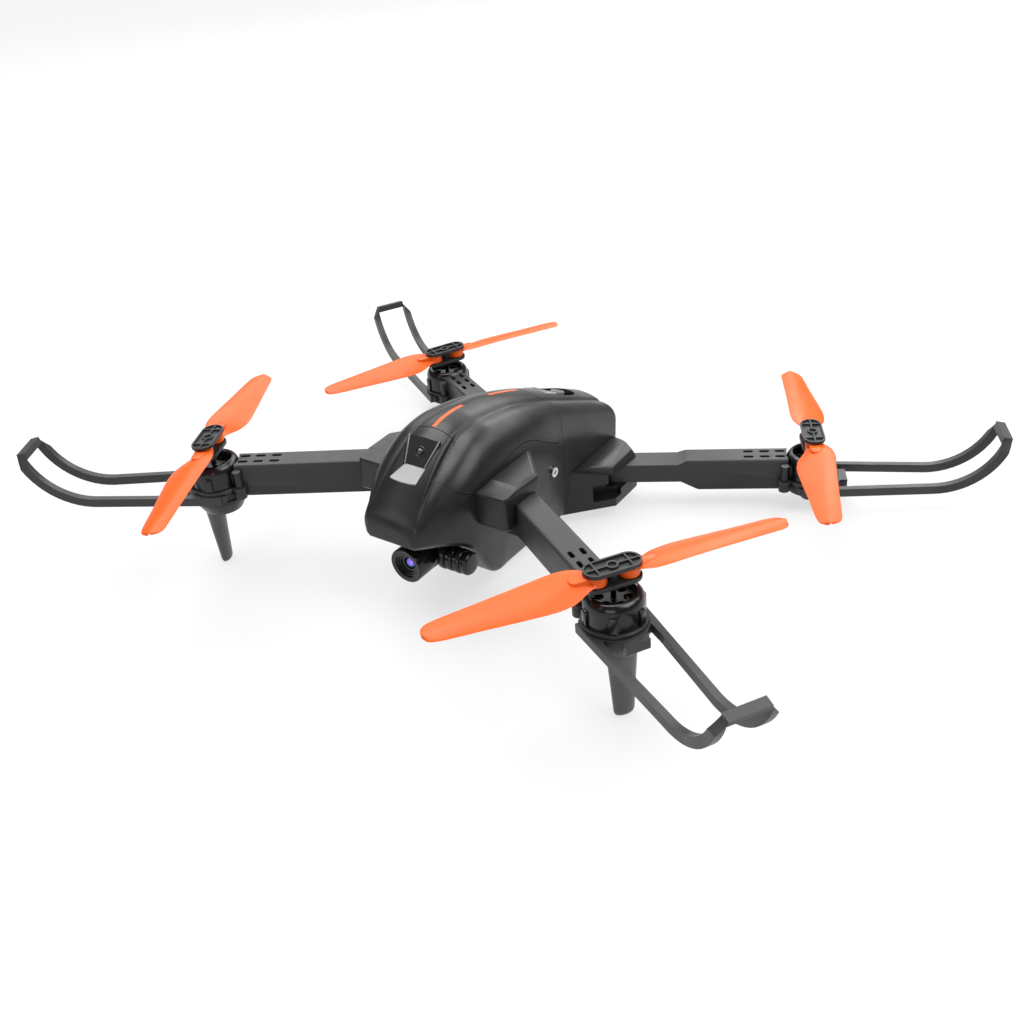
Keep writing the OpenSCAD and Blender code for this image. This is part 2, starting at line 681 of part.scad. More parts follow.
module hub_base() {
    color(dark_colour) difference() {
        union() {
            stadium(4.7, hub_low_z, hub_plate_t);
            translate([0, 0, hub_low_z - 2]) cylinder(r = 2.6, h = 2.1);
            translate([0, 0, hub_low_z + 1]) cylinder(r = 2, h = -hub_low_z - 1 - hub_plate_t);
            for (u = [-pivot_r, pivot_r]) translate([u, 0, hub_low_z + 1])
                cylinder(r = pivot_pin_r, h = -hub_low_z - 1 - hub_plate_t);
        }
        translate([0, 0, hub_low_z - 3]) cylinder(r = shaft_r + 0.01, h = 4.4);
    }
}

module hub_cap() {
    color(dark_colour) difference() {
        stadium(4.7, -hub_plate_t, hub_plate_t);
        difference() {
            stadium(3.9, -0.9, 2);
            translate([-12, -0.4, -2]) cube([24, 0.8, 4]);
            for (u = [-6.4, 6.4]) translate([u - 0.35, -6, -2]) cube([0.7, 12, 4]);
            translate([0, 0, -2]) cylinder(r = 2.3, h = 4);
        }
        translate([0, 0, -0.9]) cylinder(r = 1.5, h = 2);
    }
}

// ---- blades ---------------------------------------------------------------------------
// A blade lies along +x from its pivot; its trailing edge is at +y and its leading edge rides high.

lead_y = [[5, -3.4], [8, -3.9], [11, -5.6], [14, -6.8], [20, -7.2], [30, -6.6], [42, -5.8], [52, -5.2],
    [62, -4.4], [67, -3.2], [69.4, -1.6], [70, -0.4]];
trail_y = [[5, 3.4], [8, 3.9], [11, 4.6], [14, 6.2], [18, 8.2], [24, 9.2], [30, 9], [42, 7.8], [52, 6.6],
    [60, 5.9], [66, 4.9], [69, 3.2], [70, 1.2]];
lead_z = [[5, -2.7], [8, -2.6], [12, -2.2], [20, -1.9], [30, -2.3], [42, -3], [52, -3.6], [62, -4.2],
    [70, -4.9]];
trail_z = [[5, -4.7], [8, -4.7], [14, -5.5], [22, -5.8], [30, -5.7], [50, -5.6], [70, -5.4]];
blade_t = [[5, 1.2], [14, 1.1], [30, 0.9], [60, 0.7], [70, 0.5]];
blade_stations = [5, 8, 11, 14, 18, 22, 28, 36, 44, 52, 60, 66, 68.6, 70];
chord_steps = 6;

// The blade's section at radius r: across the lower face, then back over the upper
function blade_ring(r) =
    let (y0 = curve(lead_y, r), y1 = curve(trail_y, r), z0 = curve(lead_z, r), z1 = curve(trail_z, r),
         t = curve(blade_t, r), k = r * prop_r / 70)
    [for (i = [0:2 * chord_steps - 1])
        let (s = i <= chord_steps ? i / chord_steps : 2 - i / chord_steps,
             up = i == 0 || i == chord_steps ? 0 : i < chord_steps ? -1 : 1,
             camber = 0.9 * sin(180 * s), half_t = t / 2 * pow(sin(180 * s), 0.5))
        [k, y0 + (y1 - y0) * s, z0 + (z1 - z0) * s + camber * min((r - 5) / 9, 1) + up * half_t]];

// turn is how far the blade lags or leads about its pivot
module blade(turn) {
    color(blade_colour) translate([pivot_r, 0, 0]) rotate([0, 0, turn]) translate([-pivot_r, 0, 0])
    difference() {
        union() {
            skin([for (r = blade_stations) blade_ring(r)]);
            translate([pivot_r, 0, -5.85]) cylinder(r = 3.9, h = 4.2);
            translate([pivot_r, -2.4, -3.8]) cube([8, 4.8, 2.05]);
            translate([pivot_r + 8, 0, -3.8]) cylinder(r = 2.4, h = 2.05);
        }
        translate([pivot_r, 0, -10]) cylinder(r = pivot_pin_r + pin_clear, h = 20);
    }
}

// How each propeller stands: its hub's angle, and each blade's small turn about its pivot
front_left_hub = -122.6;
front_left_turns = [-0.2, 0.2];
front_right_hub = -117.25;
front_right_turns = [-1.5, 1.5];
rear_left_hub = -59.4;
rear_left_turns = [1.5, -1.5];
rear_right_hub = -63.3;
rear_right_turns = [-0.2, 0.2];

lower_hull();
upper_canopy();
belly_plate();
nose_sensor_panel();
nose_sensor_lens();
main_board();
flow_sensor();
hull_screws();
hinge_pins();
battery_case();
battery_cells();
battery_latch();
power_button();
camera_bracket();
camera_housing();
camera_lens_barrel();
camera_lens_glass();
tilt_motor();

left() front() front_arm();  // arm_front_left
right() front() front_arm();  // arm_front_right
left() rear() rear_arm();  // arm_rear_left
right() rear() rear_arm();  // arm_rear_right
left() front() pod_cap();  // pod_cap_front_left
right() front() pod_cap();  // pod_cap_front_right
left() rear() pod_cap();  // pod_cap_rear_left
right() rear() pod_cap();  // pod_cap_rear_right
left() front() front_pod_cover();  // pod_cover_front_left
right() front() front_pod_cover();  // pod_cover_front_right
left() rear() rear_pod_cover();  // pod_cover_rear_left
right() rear() rear_pod_cover();  // pod_cover_rear_right
left() front() leg();  // leg_left
right() front() leg();  // leg_right
left() front() guard();  // guard_front_left
right() front() guard();  // guard_front_right
left() rear() guard();  // guard_rear_left
right() rear() guard();  // guard_rear_right
left() front() motor_stator();  // motor_stator_front_left
right() front() motor_stator();  // motor_stator_front_right
left() rear() motor_stator();  // motor_stator_rear_left
right() rear() motor_stator();  // motor_stator_rear_right
left() front() motor_bell();  // motor_bell_front_left
right() front() motor_bell();  // motor_bell_front_right
left() rear() motor_bell();  // motor_bell_rear_left
right() rear() motor_bell();  // motor_bell_rear_right

left() front_hub(front_left_hub) hub_base();  // hub_base_front_left
right() front_hub(front_right_hub) hub_base();  // hub_base_front_right
left() rear_hub(rear_left_hub) hub_base();  // hub_base_rear_left
right() rear_hub(rear_right_hub) hub_base();  // hub_base_rear_right
left() front_hub(front_left_hub) hub_cap();  // hub_cap_front_left
right() front_hub(front_right_hub) hub_cap();  // hub_cap_front_right
left() rear_hub(rear_left_hub) hub_cap();  // hub_cap_rear_left
right() rear_hub(rear_right_hub) hub_cap();  // hub_cap_rear_right

left() front_hub(front_left_hub) blade(front_left_turns[0]);  // blade_front_left_a
left() front_hub(front_left_hub + 180) blade(front_left_turns[1]);  // blade_front_left_b
right() front_hub(front_right_hub) blade(front_right_turns[0]);  // blade_front_right_a
right() front_hub(front_right_hub + 180) blade(front_right_turns[1]);  // blade_front_right_b
left() rear_hub(rear_left_hub) mirror([0, 1, 0]) blade(rear_left_turns[0]);  // blade_rear_left_a
left() rear_hub(rear_left_hub + 180) mirror([0, 1, 0]) blade(rear_left_turns[1]);  // blade_rear_left_b
right() rear_hub(rear_right_hub) mirror([0, 1, 0]) blade(rear_right_turns[0]);  // blade_rear_right_a
right() rear_hub(rear_right_hub + 180) mirror([0, 1, 0]) blade(rear_right_turns[1]);  // blade_rear_right_b
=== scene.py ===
"""The looks of the folding camera quadcopter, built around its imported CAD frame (metres, nose to -Y)."""

import json
import math

import bmesh
import bpy
import numpy as np
from mathutils import Matrix, Vector


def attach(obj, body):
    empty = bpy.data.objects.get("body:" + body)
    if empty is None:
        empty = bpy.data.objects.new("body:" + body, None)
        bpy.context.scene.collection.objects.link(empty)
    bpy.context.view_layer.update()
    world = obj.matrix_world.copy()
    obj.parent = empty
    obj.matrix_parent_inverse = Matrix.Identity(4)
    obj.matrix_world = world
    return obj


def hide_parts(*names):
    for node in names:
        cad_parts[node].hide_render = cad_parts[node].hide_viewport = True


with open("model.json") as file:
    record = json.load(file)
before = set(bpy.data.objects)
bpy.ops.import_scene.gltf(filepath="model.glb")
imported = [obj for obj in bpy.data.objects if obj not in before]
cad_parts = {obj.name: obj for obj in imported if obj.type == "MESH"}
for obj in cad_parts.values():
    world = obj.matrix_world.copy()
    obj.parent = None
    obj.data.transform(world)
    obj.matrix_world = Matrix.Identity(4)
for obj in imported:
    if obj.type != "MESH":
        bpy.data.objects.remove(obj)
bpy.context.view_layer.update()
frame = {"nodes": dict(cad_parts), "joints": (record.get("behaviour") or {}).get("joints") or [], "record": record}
nodes = frame["nodes"]
record = frame["record"]

MM = 0.001
ENDS = ("front", "rear")
SIDES = ("left", "right")
CORNERS = [end + "_" + side for end in ENDS for side in SIDES]
SLOT_OF = {p["node"]: p["material_slot"] for p in record["subparts"]}
JOINTS = {j["name"]: j for j in frame["joints"]}


def body_of(node):
    return next(b for b, members in record["behaviour"]["bodies"].items() if node in members)


# ---- camera, floor and light --------------------------------------------------------------

CAMERA_AT = Vector((279.1, -363.3, 293.3)) * MM
CAMERA_FORWARD = Vector((-0.5223, 0.6691, -0.5287)).normalized()
CAMERA_RIGHT = Vector((0.8158, 0.5726, -0.0814))
LENS_MM = 41.32
SENSOR_MM = 36.0
WORLD_LIGHT = 0.22
FLOOR_HALF = 30.0
FLOOR_SINK = 0.0002
FLOOR_ALBEDO = 0.19
FLOOR_GLOW = 0.665


def add_camera():
    data = bpy.data.cameras.new("camera")
    data.lens = LENS_MM
    data.sensor_width = SENSOR_MM
    data.clip_start = 0.01
    camera = bpy.data.objects.new("camera", data)
    bpy.context.scene.collection.objects.link(camera)
    right = (CAMERA_RIGHT - CAMERA_FORWARD * CAMERA_RIGHT.dot(CAMERA_FORWARD)).normalized()
    up = right.cross(CAMERA_FORWARD)
    turn = Matrix((right, up, -CAMERA_FORWARD)).transposed().to_4x4()
    camera.matrix_world = Matrix.Translation(CAMERA_AT) @ turn
    bpy.context.scene.camera = camera


def add_lamp(name, data, direction):
    lamp = bpy.data.objects.new(name, data)
    bpy.context.scene.collection.objects.link(lamp)
    lamp.rotation_euler = direction.to_track_quat("-Z", "Y").to_euler()
    return lamp


def add_area(name, place, size, power):
    """A softbox at place that faces the craft."""
    data = bpy.data.lights.new(name, "AREA")
    data.shape = "RECTANGLE"
    data.size, data.size_y = size
    data.energy = power
    add_lamp(name, data, -Vector(place)).location = place


def add_sun(name, towards, spread_deg, strength):
    """A very large, far softbox: even light over the whole floor with soft shadows."""
    data = bpy.data.lights.new(name, "SUN")
    data.angle = math.radians(spread_deg)
    data.energy = strength
    add_lamp(name, data, -Vector(towards))


def add_world():
    world = bpy.data.worlds.new("studio")
    world.use_nodes = True
    background = world.node_tree.nodes["Background"]
    background.inputs["Color"].default_value = (1, 1, 1, 1)
    background.inputs["Strength"].default_value = WORLD_LIGHT
    bpy.context.scene.world = world


def add_floor():
    """A white floor that glows a little, so that the shadows on it stay faint."""
    mesh = bpy.data.meshes.new("floor")
    corners = [(x * FLOOR_HALF, y * FLOOR_HALF, 0) for x, y in ((-1, -1), (1, -1), (1, 1), (-1, 1))]
    mesh.from_pydata(corners, [], [(0, 1, 2, 3)])
    floor = bpy.data.objects.new("floor", mesh)
    bpy.context.scene.collection.objects.link(floor)
    floor.location.z = -FLOOR_SINK
    material = bpy.data.materials.new("floor")
    material.use_nodes = True
    shader = material.node_tree.nodes["Principled BSDF"]
    shader.inputs["Base Color"].default_value = (FLOOR_ALBEDO, FLOOR_ALBEDO, FLOOR_ALBEDO, 1)
    shader.inputs["Roughness"].default_value = 0.9
    shader.inputs["Specular IOR Level"].default_value = 0.0
    shader.inputs["Emission Color"].default_value = (1, 1, 1, 1)
    shader.inputs["Emission Strength"].default_value = FLOOR_GLOW
    mesh.materials.append(material)


def add_stage():
    add_world()
    add_sun("overhead", (-0.38, 0.12, 1.0), 50, 3.5)
    add_area("back_left", (-0.75, 0.95, 0.75), (1.3, 0.6), 6)
    add_area("back", (0.25, 1.1, 0.9), (1.5, 0.6), 12)
    add_area("right", (0.75, 0.15, 1.0), (0.8, 0.8), 12)
    add_area("front_left", (-0.7, -1.1, 0.75), (0.9, 0.7), 3.5)
    add_area("front_right", (0.5, -1.3, 0.5), (0.7, 0.5), 3)
    add_floor()


# ---- materials ----------------------------------------------------------------------------


def new_material(name, roughness, colour, metallic=0.0, specular=0.5, coat=0.0):
    material = bpy.data.materials.new(name)
    material.use_nodes = True
    shader = material.node_tree.nodes["Principled BSDF"]
    shader.inputs["Base Color"].default_value = (*colour, 1)
    shader.inputs["Roughness"].default_value = roughness
    shader.inputs["Metallic"].default_value = metallic
    shader.inputs["Specular IOR Level"].default_value = specular
    shader.inputs["Coat Weight"].default_value = coat
    shader.inputs["Coat Roughness"].default_value = 0.12
    return material, material.node_tree, shader


def noise(tree, scale, detail):
    """A noise texture in the object's own metres; scale is in features per metre."""
    place = tree.nodes.new("ShaderNodeTexCoord")
    texture = tree.nodes.new("ShaderNodeTexNoise")
    texture.inputs["Scale"].default_value = scale
    texture.inputs["Detail"].default_value = detail
    tree.links.new(place.outputs["Object"], texture.inputs["Vector"])
    return texture


def ramp(tree, source, stops):
    """Maps a 0..1 value to colours or greys; stops is a list of (position, (r, g, b))."""
    node = tree.nodes.new("ShaderNodeValToRGB")
    while len(node.color_ramp.elements) < len(stops):
        node.color_ramp.elements.new(0.5)
    for element, (position, colour) in zip(node.color_ramp.elements, stops):
        element.position = position
        element.color = (*colour, 1)
    tree.links.new(source, node.inputs["Fac"])
    return node.outputs["Color"]


def grey_ramp(tree, texture, low_at, low, high_at, high):
    return ramp(tree, texture.outputs["Fac"], [(low_at, (low,) * 3), (high_at, (high,) * 3)])


def grain_bump(tree, shader, scale, height_mm):
    """The fine spark-eroded grain of a moulding."""
    texture = noise(tree, scale, 2.0)
    bump = tree.nodes.new("ShaderNodeBump")
    bump.inputs["Strength"].default_value = 0.5
    bump.inputs["Distance"].default_value = height_mm * MM
    tree.links.new(texture.outputs["Fac"], bump.inputs["Height"])
    tree.links.new(bump.outputs["Normal"], shader.inputs["Normal"])


def painted_edge_highlight(tree):
    """Painted edge highlight: 0 on flats, rising on sharp outer edges, which are lightened to stand in for light
    glinting along them.
    """
    geometry = tree.nodes.new("ShaderNodeNewGeometry")
    node = tree.nodes.new("ShaderNodeMapRange")
    node.inputs["From Min"].default_value = 0.52
    node.inputs["From Max"].default_value = 0.58
    tree.links.new(geometry.outputs["Pointiness"], node.inputs["Value"])
    return node.outputs["Result"]


def plastic(name, dark, light, roughness, grain_mm=0.012, specular=0.5, coat=0.0, edge_highlight=True):
    """Moulded plastic: slow tone drift, a fine grain and a painted highlight that lightens sharp edges."""
    material, tree, shader = new_material(name, roughness, dark, specular=specular, coat=coat)
    drift = noise(tree, 34.0, 4.0)
    middle = tuple(0.5 * (d + l) for d, l in zip(dark, light))
    base = ramp(tree, drift.outputs["Fac"], [(0.3, dark), (0.7, middle)])
    # Painted highlight: sharp edges are mixed towards the lighter colour to stand in for light glinting along
    # them.
    if edge_highlight:
        mix = tree.nodes.new("ShaderNodeMix")
        mix.data_type = "RGBA"
        mix.inputs["B"].default_value = (*light, 1)
        tree.links.new(painted_edge_highlight(tree), mix.inputs["Factor"])
        tree.links.new(base, mix.inputs["A"])
        base = mix.outputs["Result"]
    tree.links.new(base, shader.inputs["Base Color"])
    spread = noise(tree, 90.0, 5.0)
    grey = grey_ramp(tree, spread, 0.3, roughness - 0.05, 0.7, roughness + 0.06)
    tree.links.new(grey, shader.inputs["Roughness"])
    grain_bump(tree, shader, 2600.0, grain_mm)
    return material


def steel(name, colour, roughness):
    material, tree, shader = new_material(name, roughness, colour, metallic=1.0)
    streak = noise(tree, 700.0, 6.0)
    grey = grey_ramp(tree, streak, 0.35, roughness - 0.08, 0.65, roughness + 0.1)
    tree.links.new(grey, shader.inputs["Roughness"])
    darker = tuple(c * 0.85 for c in colour)
    tone = ramp(tree, streak.outputs["Fac"], [(0.3, darker), (0.7, colour)])
    tree.links.new(tone, shader.inputs["Base Color"])
    return material


def ribbed(name, dark, light, pitch_mm):
    """A dark plate with fine moulded ribs."""
    material, tree, shader = new_material(name, 0.45, dark, specular=0.2)
    place = tree.nodes.new("ShaderNodeTexCoord")
    wave = tree.nodes.new("ShaderNodeTexWave")
    wave.bands_direction = "X"
    wave.inputs["Scale"].default_value = math.pi / (10 * pitch_mm * MM)
    tree.links.new(place.outputs["Object"], wave.inputs["Vector"])
    tone = ramp(tree, wave.outputs["Fac"], [(0.35, dark), (0.75, light)])
    tree.links.new(tone, shader.inputs["Base Color"])
    bump = tree.nodes.new("ShaderNodeBump")
    bump.inputs["Strength"].default_value = 0.6
    bump.inputs["Distance"].default_value = 0.1 * MM
    tree.links.new(wave.outputs["Fac"], bump.inputs["Height"])
    tree.links.new(bump.outputs["Normal"], shader.inputs["Normal"])
    return material


# Painted reflection on the lens: its colours from the bright middle of the glint outwards
PAINTED_GLINT = [(0.0, (0.85, 0.7, 1.0)), (0.2, (0.4, 0.12, 1.0)), (0.4, (0.08, 0.06, 0.8)),
           (0.55, (0.01, 0.12, 0.4)), (0.75, (0.02, 0.01, 0.06))]


def lens_with_painted_glint(name, glint_centre_mm, glint_radius_mm):
    """Dark glass with a painted reflection: an off-centre violet, blue and green patch with a bright middle, whose
    colours also glow a little.
    """
    material, tree, shader = new_material(name, 0.06, (0.01, 0.01, 0.02), specular=0.6, coat=1.0)
    shader.inputs["Coat Roughness"].default_value = 0.02
    place = tree.nodes.new("ShaderNodeTexCoord")
    offset = tree.nodes.new("ShaderNodeVectorMath")
    offset.operation = "DISTANCE"
    offset.inputs[1].default_value = Vector(glint_centre_mm) * MM
    tree.links.new(place.outputs["Object"], offset.inputs[0])
    scale = tree.nodes.new("ShaderNodeMath")
    scale.operation = "DIVIDE"
    scale.inputs[1].default_value = glint_radius_mm * MM
    tree.links.new(offset.outputs["Value"], scale.inputs[0])
    # Painted highlight and reflection: the colour runs from the glint's bright middle out to near black.
    tone = ramp(tree, scale.outputs["Value"], PAINTED_GLINT)
    tree.links.new(tone, shader.inputs["Base Color"])
    # Painted glow: the glint's colours also shine as light from the lens, though it is no lamp.
    tree.links.new(tone, shader.inputs["Emission Color"])
    shader.inputs["Emission Strength"].default_value = 0.5
    return material


def make_materials():
    return {
        "shell": plastic("shell", (0.006, 0.006, 0.0062), (0.016, 0.016, 0.0165), 0.33, specular=0.33),
        "arm": plastic("arm", (0.02, 0.02, 0.0205), (0.036, 0.036, 0.037), 0.36, specular=0.25),
        "leg": plastic("leg", (0.05, 0.05, 0.051), (0.075, 0.075, 0.077), 0.34, specular=0.4),
        "guard": plastic("guard", (0.018, 0.018, 0.0185), (0.035, 0.035, 0.036), 0.4, specular=0.33),
        "hub": plastic("hub", (0.008, 0.008, 0.0085), (0.026, 0.026, 0.027), 0.42, specular=0.3),
        "trim": plastic("trim", (0.003, 0.003, 0.003), (0.008, 0.008, 0.009), 0.2, grain_mm=0.004,
                        specular=0.4),
        "key": plastic("key", (0.13, 0.13, 0.135), (0.2, 0.2, 0.205), 0.38),
        "blade": plastic("blade", (0.64, 0.078, 0.003), (0.68, 0.092, 0.005), 0.34, grain_mm=0.004,
                         specular=0.26, edge_highlight=False),
        "steel": steel("steel", (0.72, 0.72, 0.74), 0.22),
        "bell": steel("bell", (0.03, 0.03, 0.032), 0.3),
        "winding": steel("winding", (0.4, 0.18, 0.08), 0.35),
        "cell": steel("cell", (0.8, 0.8, 0.82), 0.3),
        "board": plastic("board", (0.01, 0.08, 0.03), (0.03, 0.16, 0.07), 0.4),
        # The lens takes a painted glint: a bright off-centre patch that also glows.
        "lens": lens_with_painted_glint("lens", (0.3, -76.2, 26.0), 3.4),
        "eye": plastic("eye", (0.004, 0.004, 0.005), (0.01, 0.01, 0.012), 0.06, grain_mm=0.0, coat=1.0,
                       edge_highlight=False),
        "sensor_plate": ribbed("sensor_plate", (0.003, 0.003, 0.003), (0.022, 0.022, 0.023), 0.55),
    }


# ---- pieces made from the CAD nodes --------------------------------------------------------


def link(name, mesh, body, slot_name, materials, replaced=()):
    piece = bpy.data.objects.new(name, mesh)
    bpy.context.scene.collection.objects.link(piece)
    if not mesh.materials:
        mesh.materials.append(materials[slot_name])
    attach(piece, body)
    if replaced:
        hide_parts(*replaced)
    return piece


BEVEL_MM = 0.25
SHARP_DEG = 32.0


def refined(node, materials):
    """A copy of a CAD node with clean faces, rounded edges and smooth curves, standing for the node."""
    mesh = nodes[node].data.copy()
    mesh.name = node + "_refined"
    mesh.materials.clear()
    work = bmesh.new()
    work.from_mesh(mesh)
    bmesh.ops.remove_doubles(work, verts=work.verts, dist=0.002 * MM)
    bmesh.ops.dissolve_limit(work, angle_limit=math.radians(1.0), verts=work.verts, edges=work.edges)
    work.to_mesh(mesh)
    work.free()
    mesh.shade_smooth()
    mesh.set_sharp_from_angle(angle=math.radians(SHARP_DEG))
    piece = link(node + "_piece", mesh, body_of(node), SLOT_OF[node], materials, (node,))
    bevel = piece.modifiers.new("round", "BEVEL")
    bevel.width = BEVEL_MM * MM
    bevel.segments = 2
    bevel.limit_method = "ANGLE"
    bevel.angle_limit = math.radians(SHARP_DEG)
    bevel.harden_normals = True


# ---- the body's skin ------------------------------------------------------------------------
# Each list of (y, value) in millimetres is a curve along the body; a section follows from all six.

NOSE_Y, TAIL_Y = -86.0, 56.0
SPINE_Z = [(-86, 49.5), (-83.4, 53.5), (-79.4, 57.5), (-73.4, 63.2), (-65.4, 69.3), (-56.4, 74.4),
           (-48.4, 77.2), (-38, 77.9), (-30, 77), (-13.4, 73.8), (6.6, 67), (23.6, 59.6), (41.6, 51.6),
           (56, 44.6)]
KEEL_Z = [(-86, 41.6), (-84, 40.0), (-73.4, 36.6), (-61.4, 30.5), (-54, 21), (-46, 9), (-40.4, 5),
          (-34, 5), (50, 5), (56, 7)]
RIDGE_X = [(-86, 11.5), (-84, 13), (-73.4, 11.6), (-57, 10.2), (-48, 9.6), (-20, 9.6), (10, 10.5), (56, 11)]
SIDE_X = [(-86, 12), (-84, 13.8), (-79, 16), (-72, 20), (-64, 23.2), (-56, 24.8), (-48, 25.3),
          (-25, 25.3), (-8, 24.3), (10.6, 22), (31.6, 20.6), (56, 19.6)]
SIDE_Z = [(-86, 45), (-73, 47), (-58, 50), (-25, 50), (10, 45), (31, 40), (56, 34)]
FOOT_X = [(-86, 12), (-84, 13.4), (-73, 17.5), (-61, 21.5), (-53, 20.5), (-45, 18.5), (-40, 18),
          (50, 18), (56, 17)]
# The hood's lower edge, then the slanting joint behind it, as (y, z) and (z, y)
SEAM_Z = [(-68.4, 66), (-66, 60), (-61, 57), (-52, 57.5), (-40, 60.5), (-28, 62), (-18, 60), (-8, 54),
          (0, 49.5), (3, 49.2)]
REAR_SEAM_Y = [(48.0, 1.5), (51, 4.8), (56, 8), (62.5, 10), (68, 7.5), (90, 7)]
GROOVE = [(-86, 0.7), (-80, 1.2), (-70, 2.2), (-58, 2.4), (-48, 1.5), (-35, 0.9), (56, 0.7)]
RIDGE_DROP = 2.6
SEAM_GAP = 0.3
VISOR_Y = -51.4
VISOR_HALF_W = 10.7
PACK_Y, PACK_Z = 6.8, 27.3
WALL = 1.8
BELLY_Z = 5.0
END_RADIUS = 1.6


def curve(keys, at):
    """The smooth curve through the keys, each a (place, value)."""
    x = np.array([k[0] for k in keys], float)
    v = np.array([k[1] for k in keys], float)
    slope = np.empty_like(v)
    slope[1:-1] = (v[2:] - v[:-2]) / (x[2:] - x[:-2])
    slope[0] = (v[1] - v[0]) / (x[1] - x[0])
    slope[-1] = (v[-1] - v[-2]) / (x[-1] - x[-2])
    i = np.clip(np.searchsorted(x, at, side="right") - 1, 0, len(x) - 2)
    h = x[i + 1] - x[i]
    t = np.clip((at - x[i]) / h, 0, 1)
    return (v[i] * (1 + 2 * t) * (1 - t) ** 2 + v[i + 1] * t * t * (3 - 2 * t)
            + h * slope[i] * t * (1 - t) ** 2 - h * slope[i + 1] * t * t * (1 - t))


def end_rounding(y):
    """How far the skin draws in near the nose and the tail."""
    inset = 0.0
    for end in (NOSE_Y, TAIL_Y):
        near = END_RADIUS - abs(y - end)
        if near > 0:
            inset += END_RADIUS - math.sqrt(max(END_RADIUS ** 2 - near ** 2, 0))
    return inset


def resample(points, count):
    """count points evenly along a polyline."""
    along = np.concatenate([[0], np.cumsum(np.linalg.norm(np.diff(points, axis=0), axis=1))])
    at = np.linspace(0, along[-1], count)
    return np.stack([np.interp(at, along, points[:, k]) for k in range(2)], 1)


def half_section(y, inset=0.0, count=130):
    """Points (x, z) of the section at y from the spine down to the keel, with soft creases."""
    rounding = end_rounding(y)
    low = curve(KEEL_Z, y) + inset + (0.2 * rounding if y < 0 else rounding)
    inset = inset + rounding
    top = curve(SPINE_Z, y) - inset
    ridge = curve(RIDGE_X, y) - inset
    side = max(curve(SIDE_X, y) - inset, ridge + 0.4)
    foot = curve(FOOT_X, y) - inset
    crease = top - min(RIDGE_DROP + curve(GROOVE, y), 0.45 * (top - low))
    middle = min(curve(SIDE_Z, y), crease - min(2, 0.3 * (crease - low)))
    corner = min(2, 0.35 * (middle - low))
    t = np.linspace(0, 0.94, 24)
    spine = np.stack([ridge * t, top - RIDGE_DROP * t * t], 1)
    a = np.linspace(0, math.pi / 2, 60)
    cheek = np.stack([ridge + (side - ridge) * np.sin(a) ** 0.85,
                      middle + (crease - middle) * np.cos(a) ** 0.85], 1)
    t = np.linspace(0, 1, 40)[1:]
    flank = np.stack([side + (foot - side) * (0.35 * t + 0.65 * t * t),
                      middle + (low + corner - middle) * t], 1)
    t = np.linspace(0, 1, 12)[1:]
    keel = np.stack([(foot - corner) * (1 - t), np.full(len(t), low)], 1)
    even = resample(np.concatenate([spine, cheek, flank, [[foot - corner, low]], keel]), count)
    for _ in range(2):
        even[1:-1] = 0.25 * even[:-2] + 0.5 * even[1:-1] + 0.25 * even[2:]
    return even


# ---- solids cut from one another -------------------------------------------------------------


def as_object(name, mesh):
    """A temporary object round a mesh, to be cut with."""
    thing = bpy.data.objects.new(name, mesh)
    bpy.context.scene.collection.objects.link(thing)
    return thing


def solid(name, work):
    """A temporary object from a bmesh whose points are in millimetres."""
    bmesh.ops.recalc_face_normals(work, faces=work.faces)
    bmesh.ops.scale(work, vec=(MM, MM, MM), verts=work.verts)
    mesh = bpy.data.meshes.new(name)
    work.to_mesh(mesh)
    work.free()
    return as_object(name, mesh)


def add_rings(work, rings):
    """Adds a closed skin through rings of the same number of points."""
    rows = [[work.verts.new(p) for p in ring] for ring in rings]
    wide = len(rows[0])
    for a, b in zip(rows, rows[1:]):
        for j in range(wide):
            k = (j + 1) % wide
            work.faces.new((a[j], a[k], b[k], b[j]))
    work.faces.new(rows[0])
    work.faces.new(rows[-1][::-1])


def through_rings(name, rings):
    work = bmesh.new()
    add_rings(work, rings)
    return solid(name, work)


def body_loft(name, inset=0.0, count=130, spacing=1.1):
    """The body as one closed solid, drawn in by inset all round."""
    low, high = NOSE_Y + inset, TAIL_Y - inset
    ends = np.array([0, 0.1, 0.25, 0.45, 0.7, 1.0, 1.4, 1.9])
    middle = np.linspace(low + 2.6, high - 2.6, int((high - low) / spacing))
    rings = []
    for y in np.concatenate([low + ends, middle, (high - ends)[::-1]]):
        half = half_section(y, inset, count)
        ring = np.concatenate([half, half[-2:0:-1] * [-1, 1]])
        rings.append([(x, y, z) for x, z in ring])
    return through_rings(name, rings)


def prism(name, outline, low, high, along="z", sign=1):
    """An outline of points swept along one axis; sign mirrors it to the other side of the body."""
    def place(p, t):
        x, y, z = {"x": (t, p[0], p[1]), "y": (p[0], t, p[1]), "z": (p[0], p[1], t)}[along]
        return sign * x, y, z
    return through_rings(name, [[place(p, low) for p in outline], [place(p, high) for p in outline]])


def convex(name, points, sign=1, edge_mm=0.0, segments=4):
    """The convex solid round some points, with its edges rounded."""
    work = bmesh.new()
    for x, y, z in points:
        work.verts.new((sign * x, y, z))
    found = bmesh.ops.convex_hull(work, input=work.verts)
    loose = list({v for v in found["geom_interior"] + found["geom_unused"]
                  if isinstance(v, bmesh.types.BMVert)})
    bmesh.ops.delete(work, geom=loose, context="VERTS")
    bmesh.ops.remove_doubles(work, verts=work.verts, dist=0.01)
    bmesh.ops.dissolve_limit(work, angle_limit=math.radians(0.5), verts=work.verts, edges=work.edges)
    if edge_mm:
        bmesh.ops.bevel(work, geom=work.edges[:], offset=edge_mm, segments=segments, profile=0.5,
                        affect="EDGES", clamp_overlap=True)
    return solid(name, work)


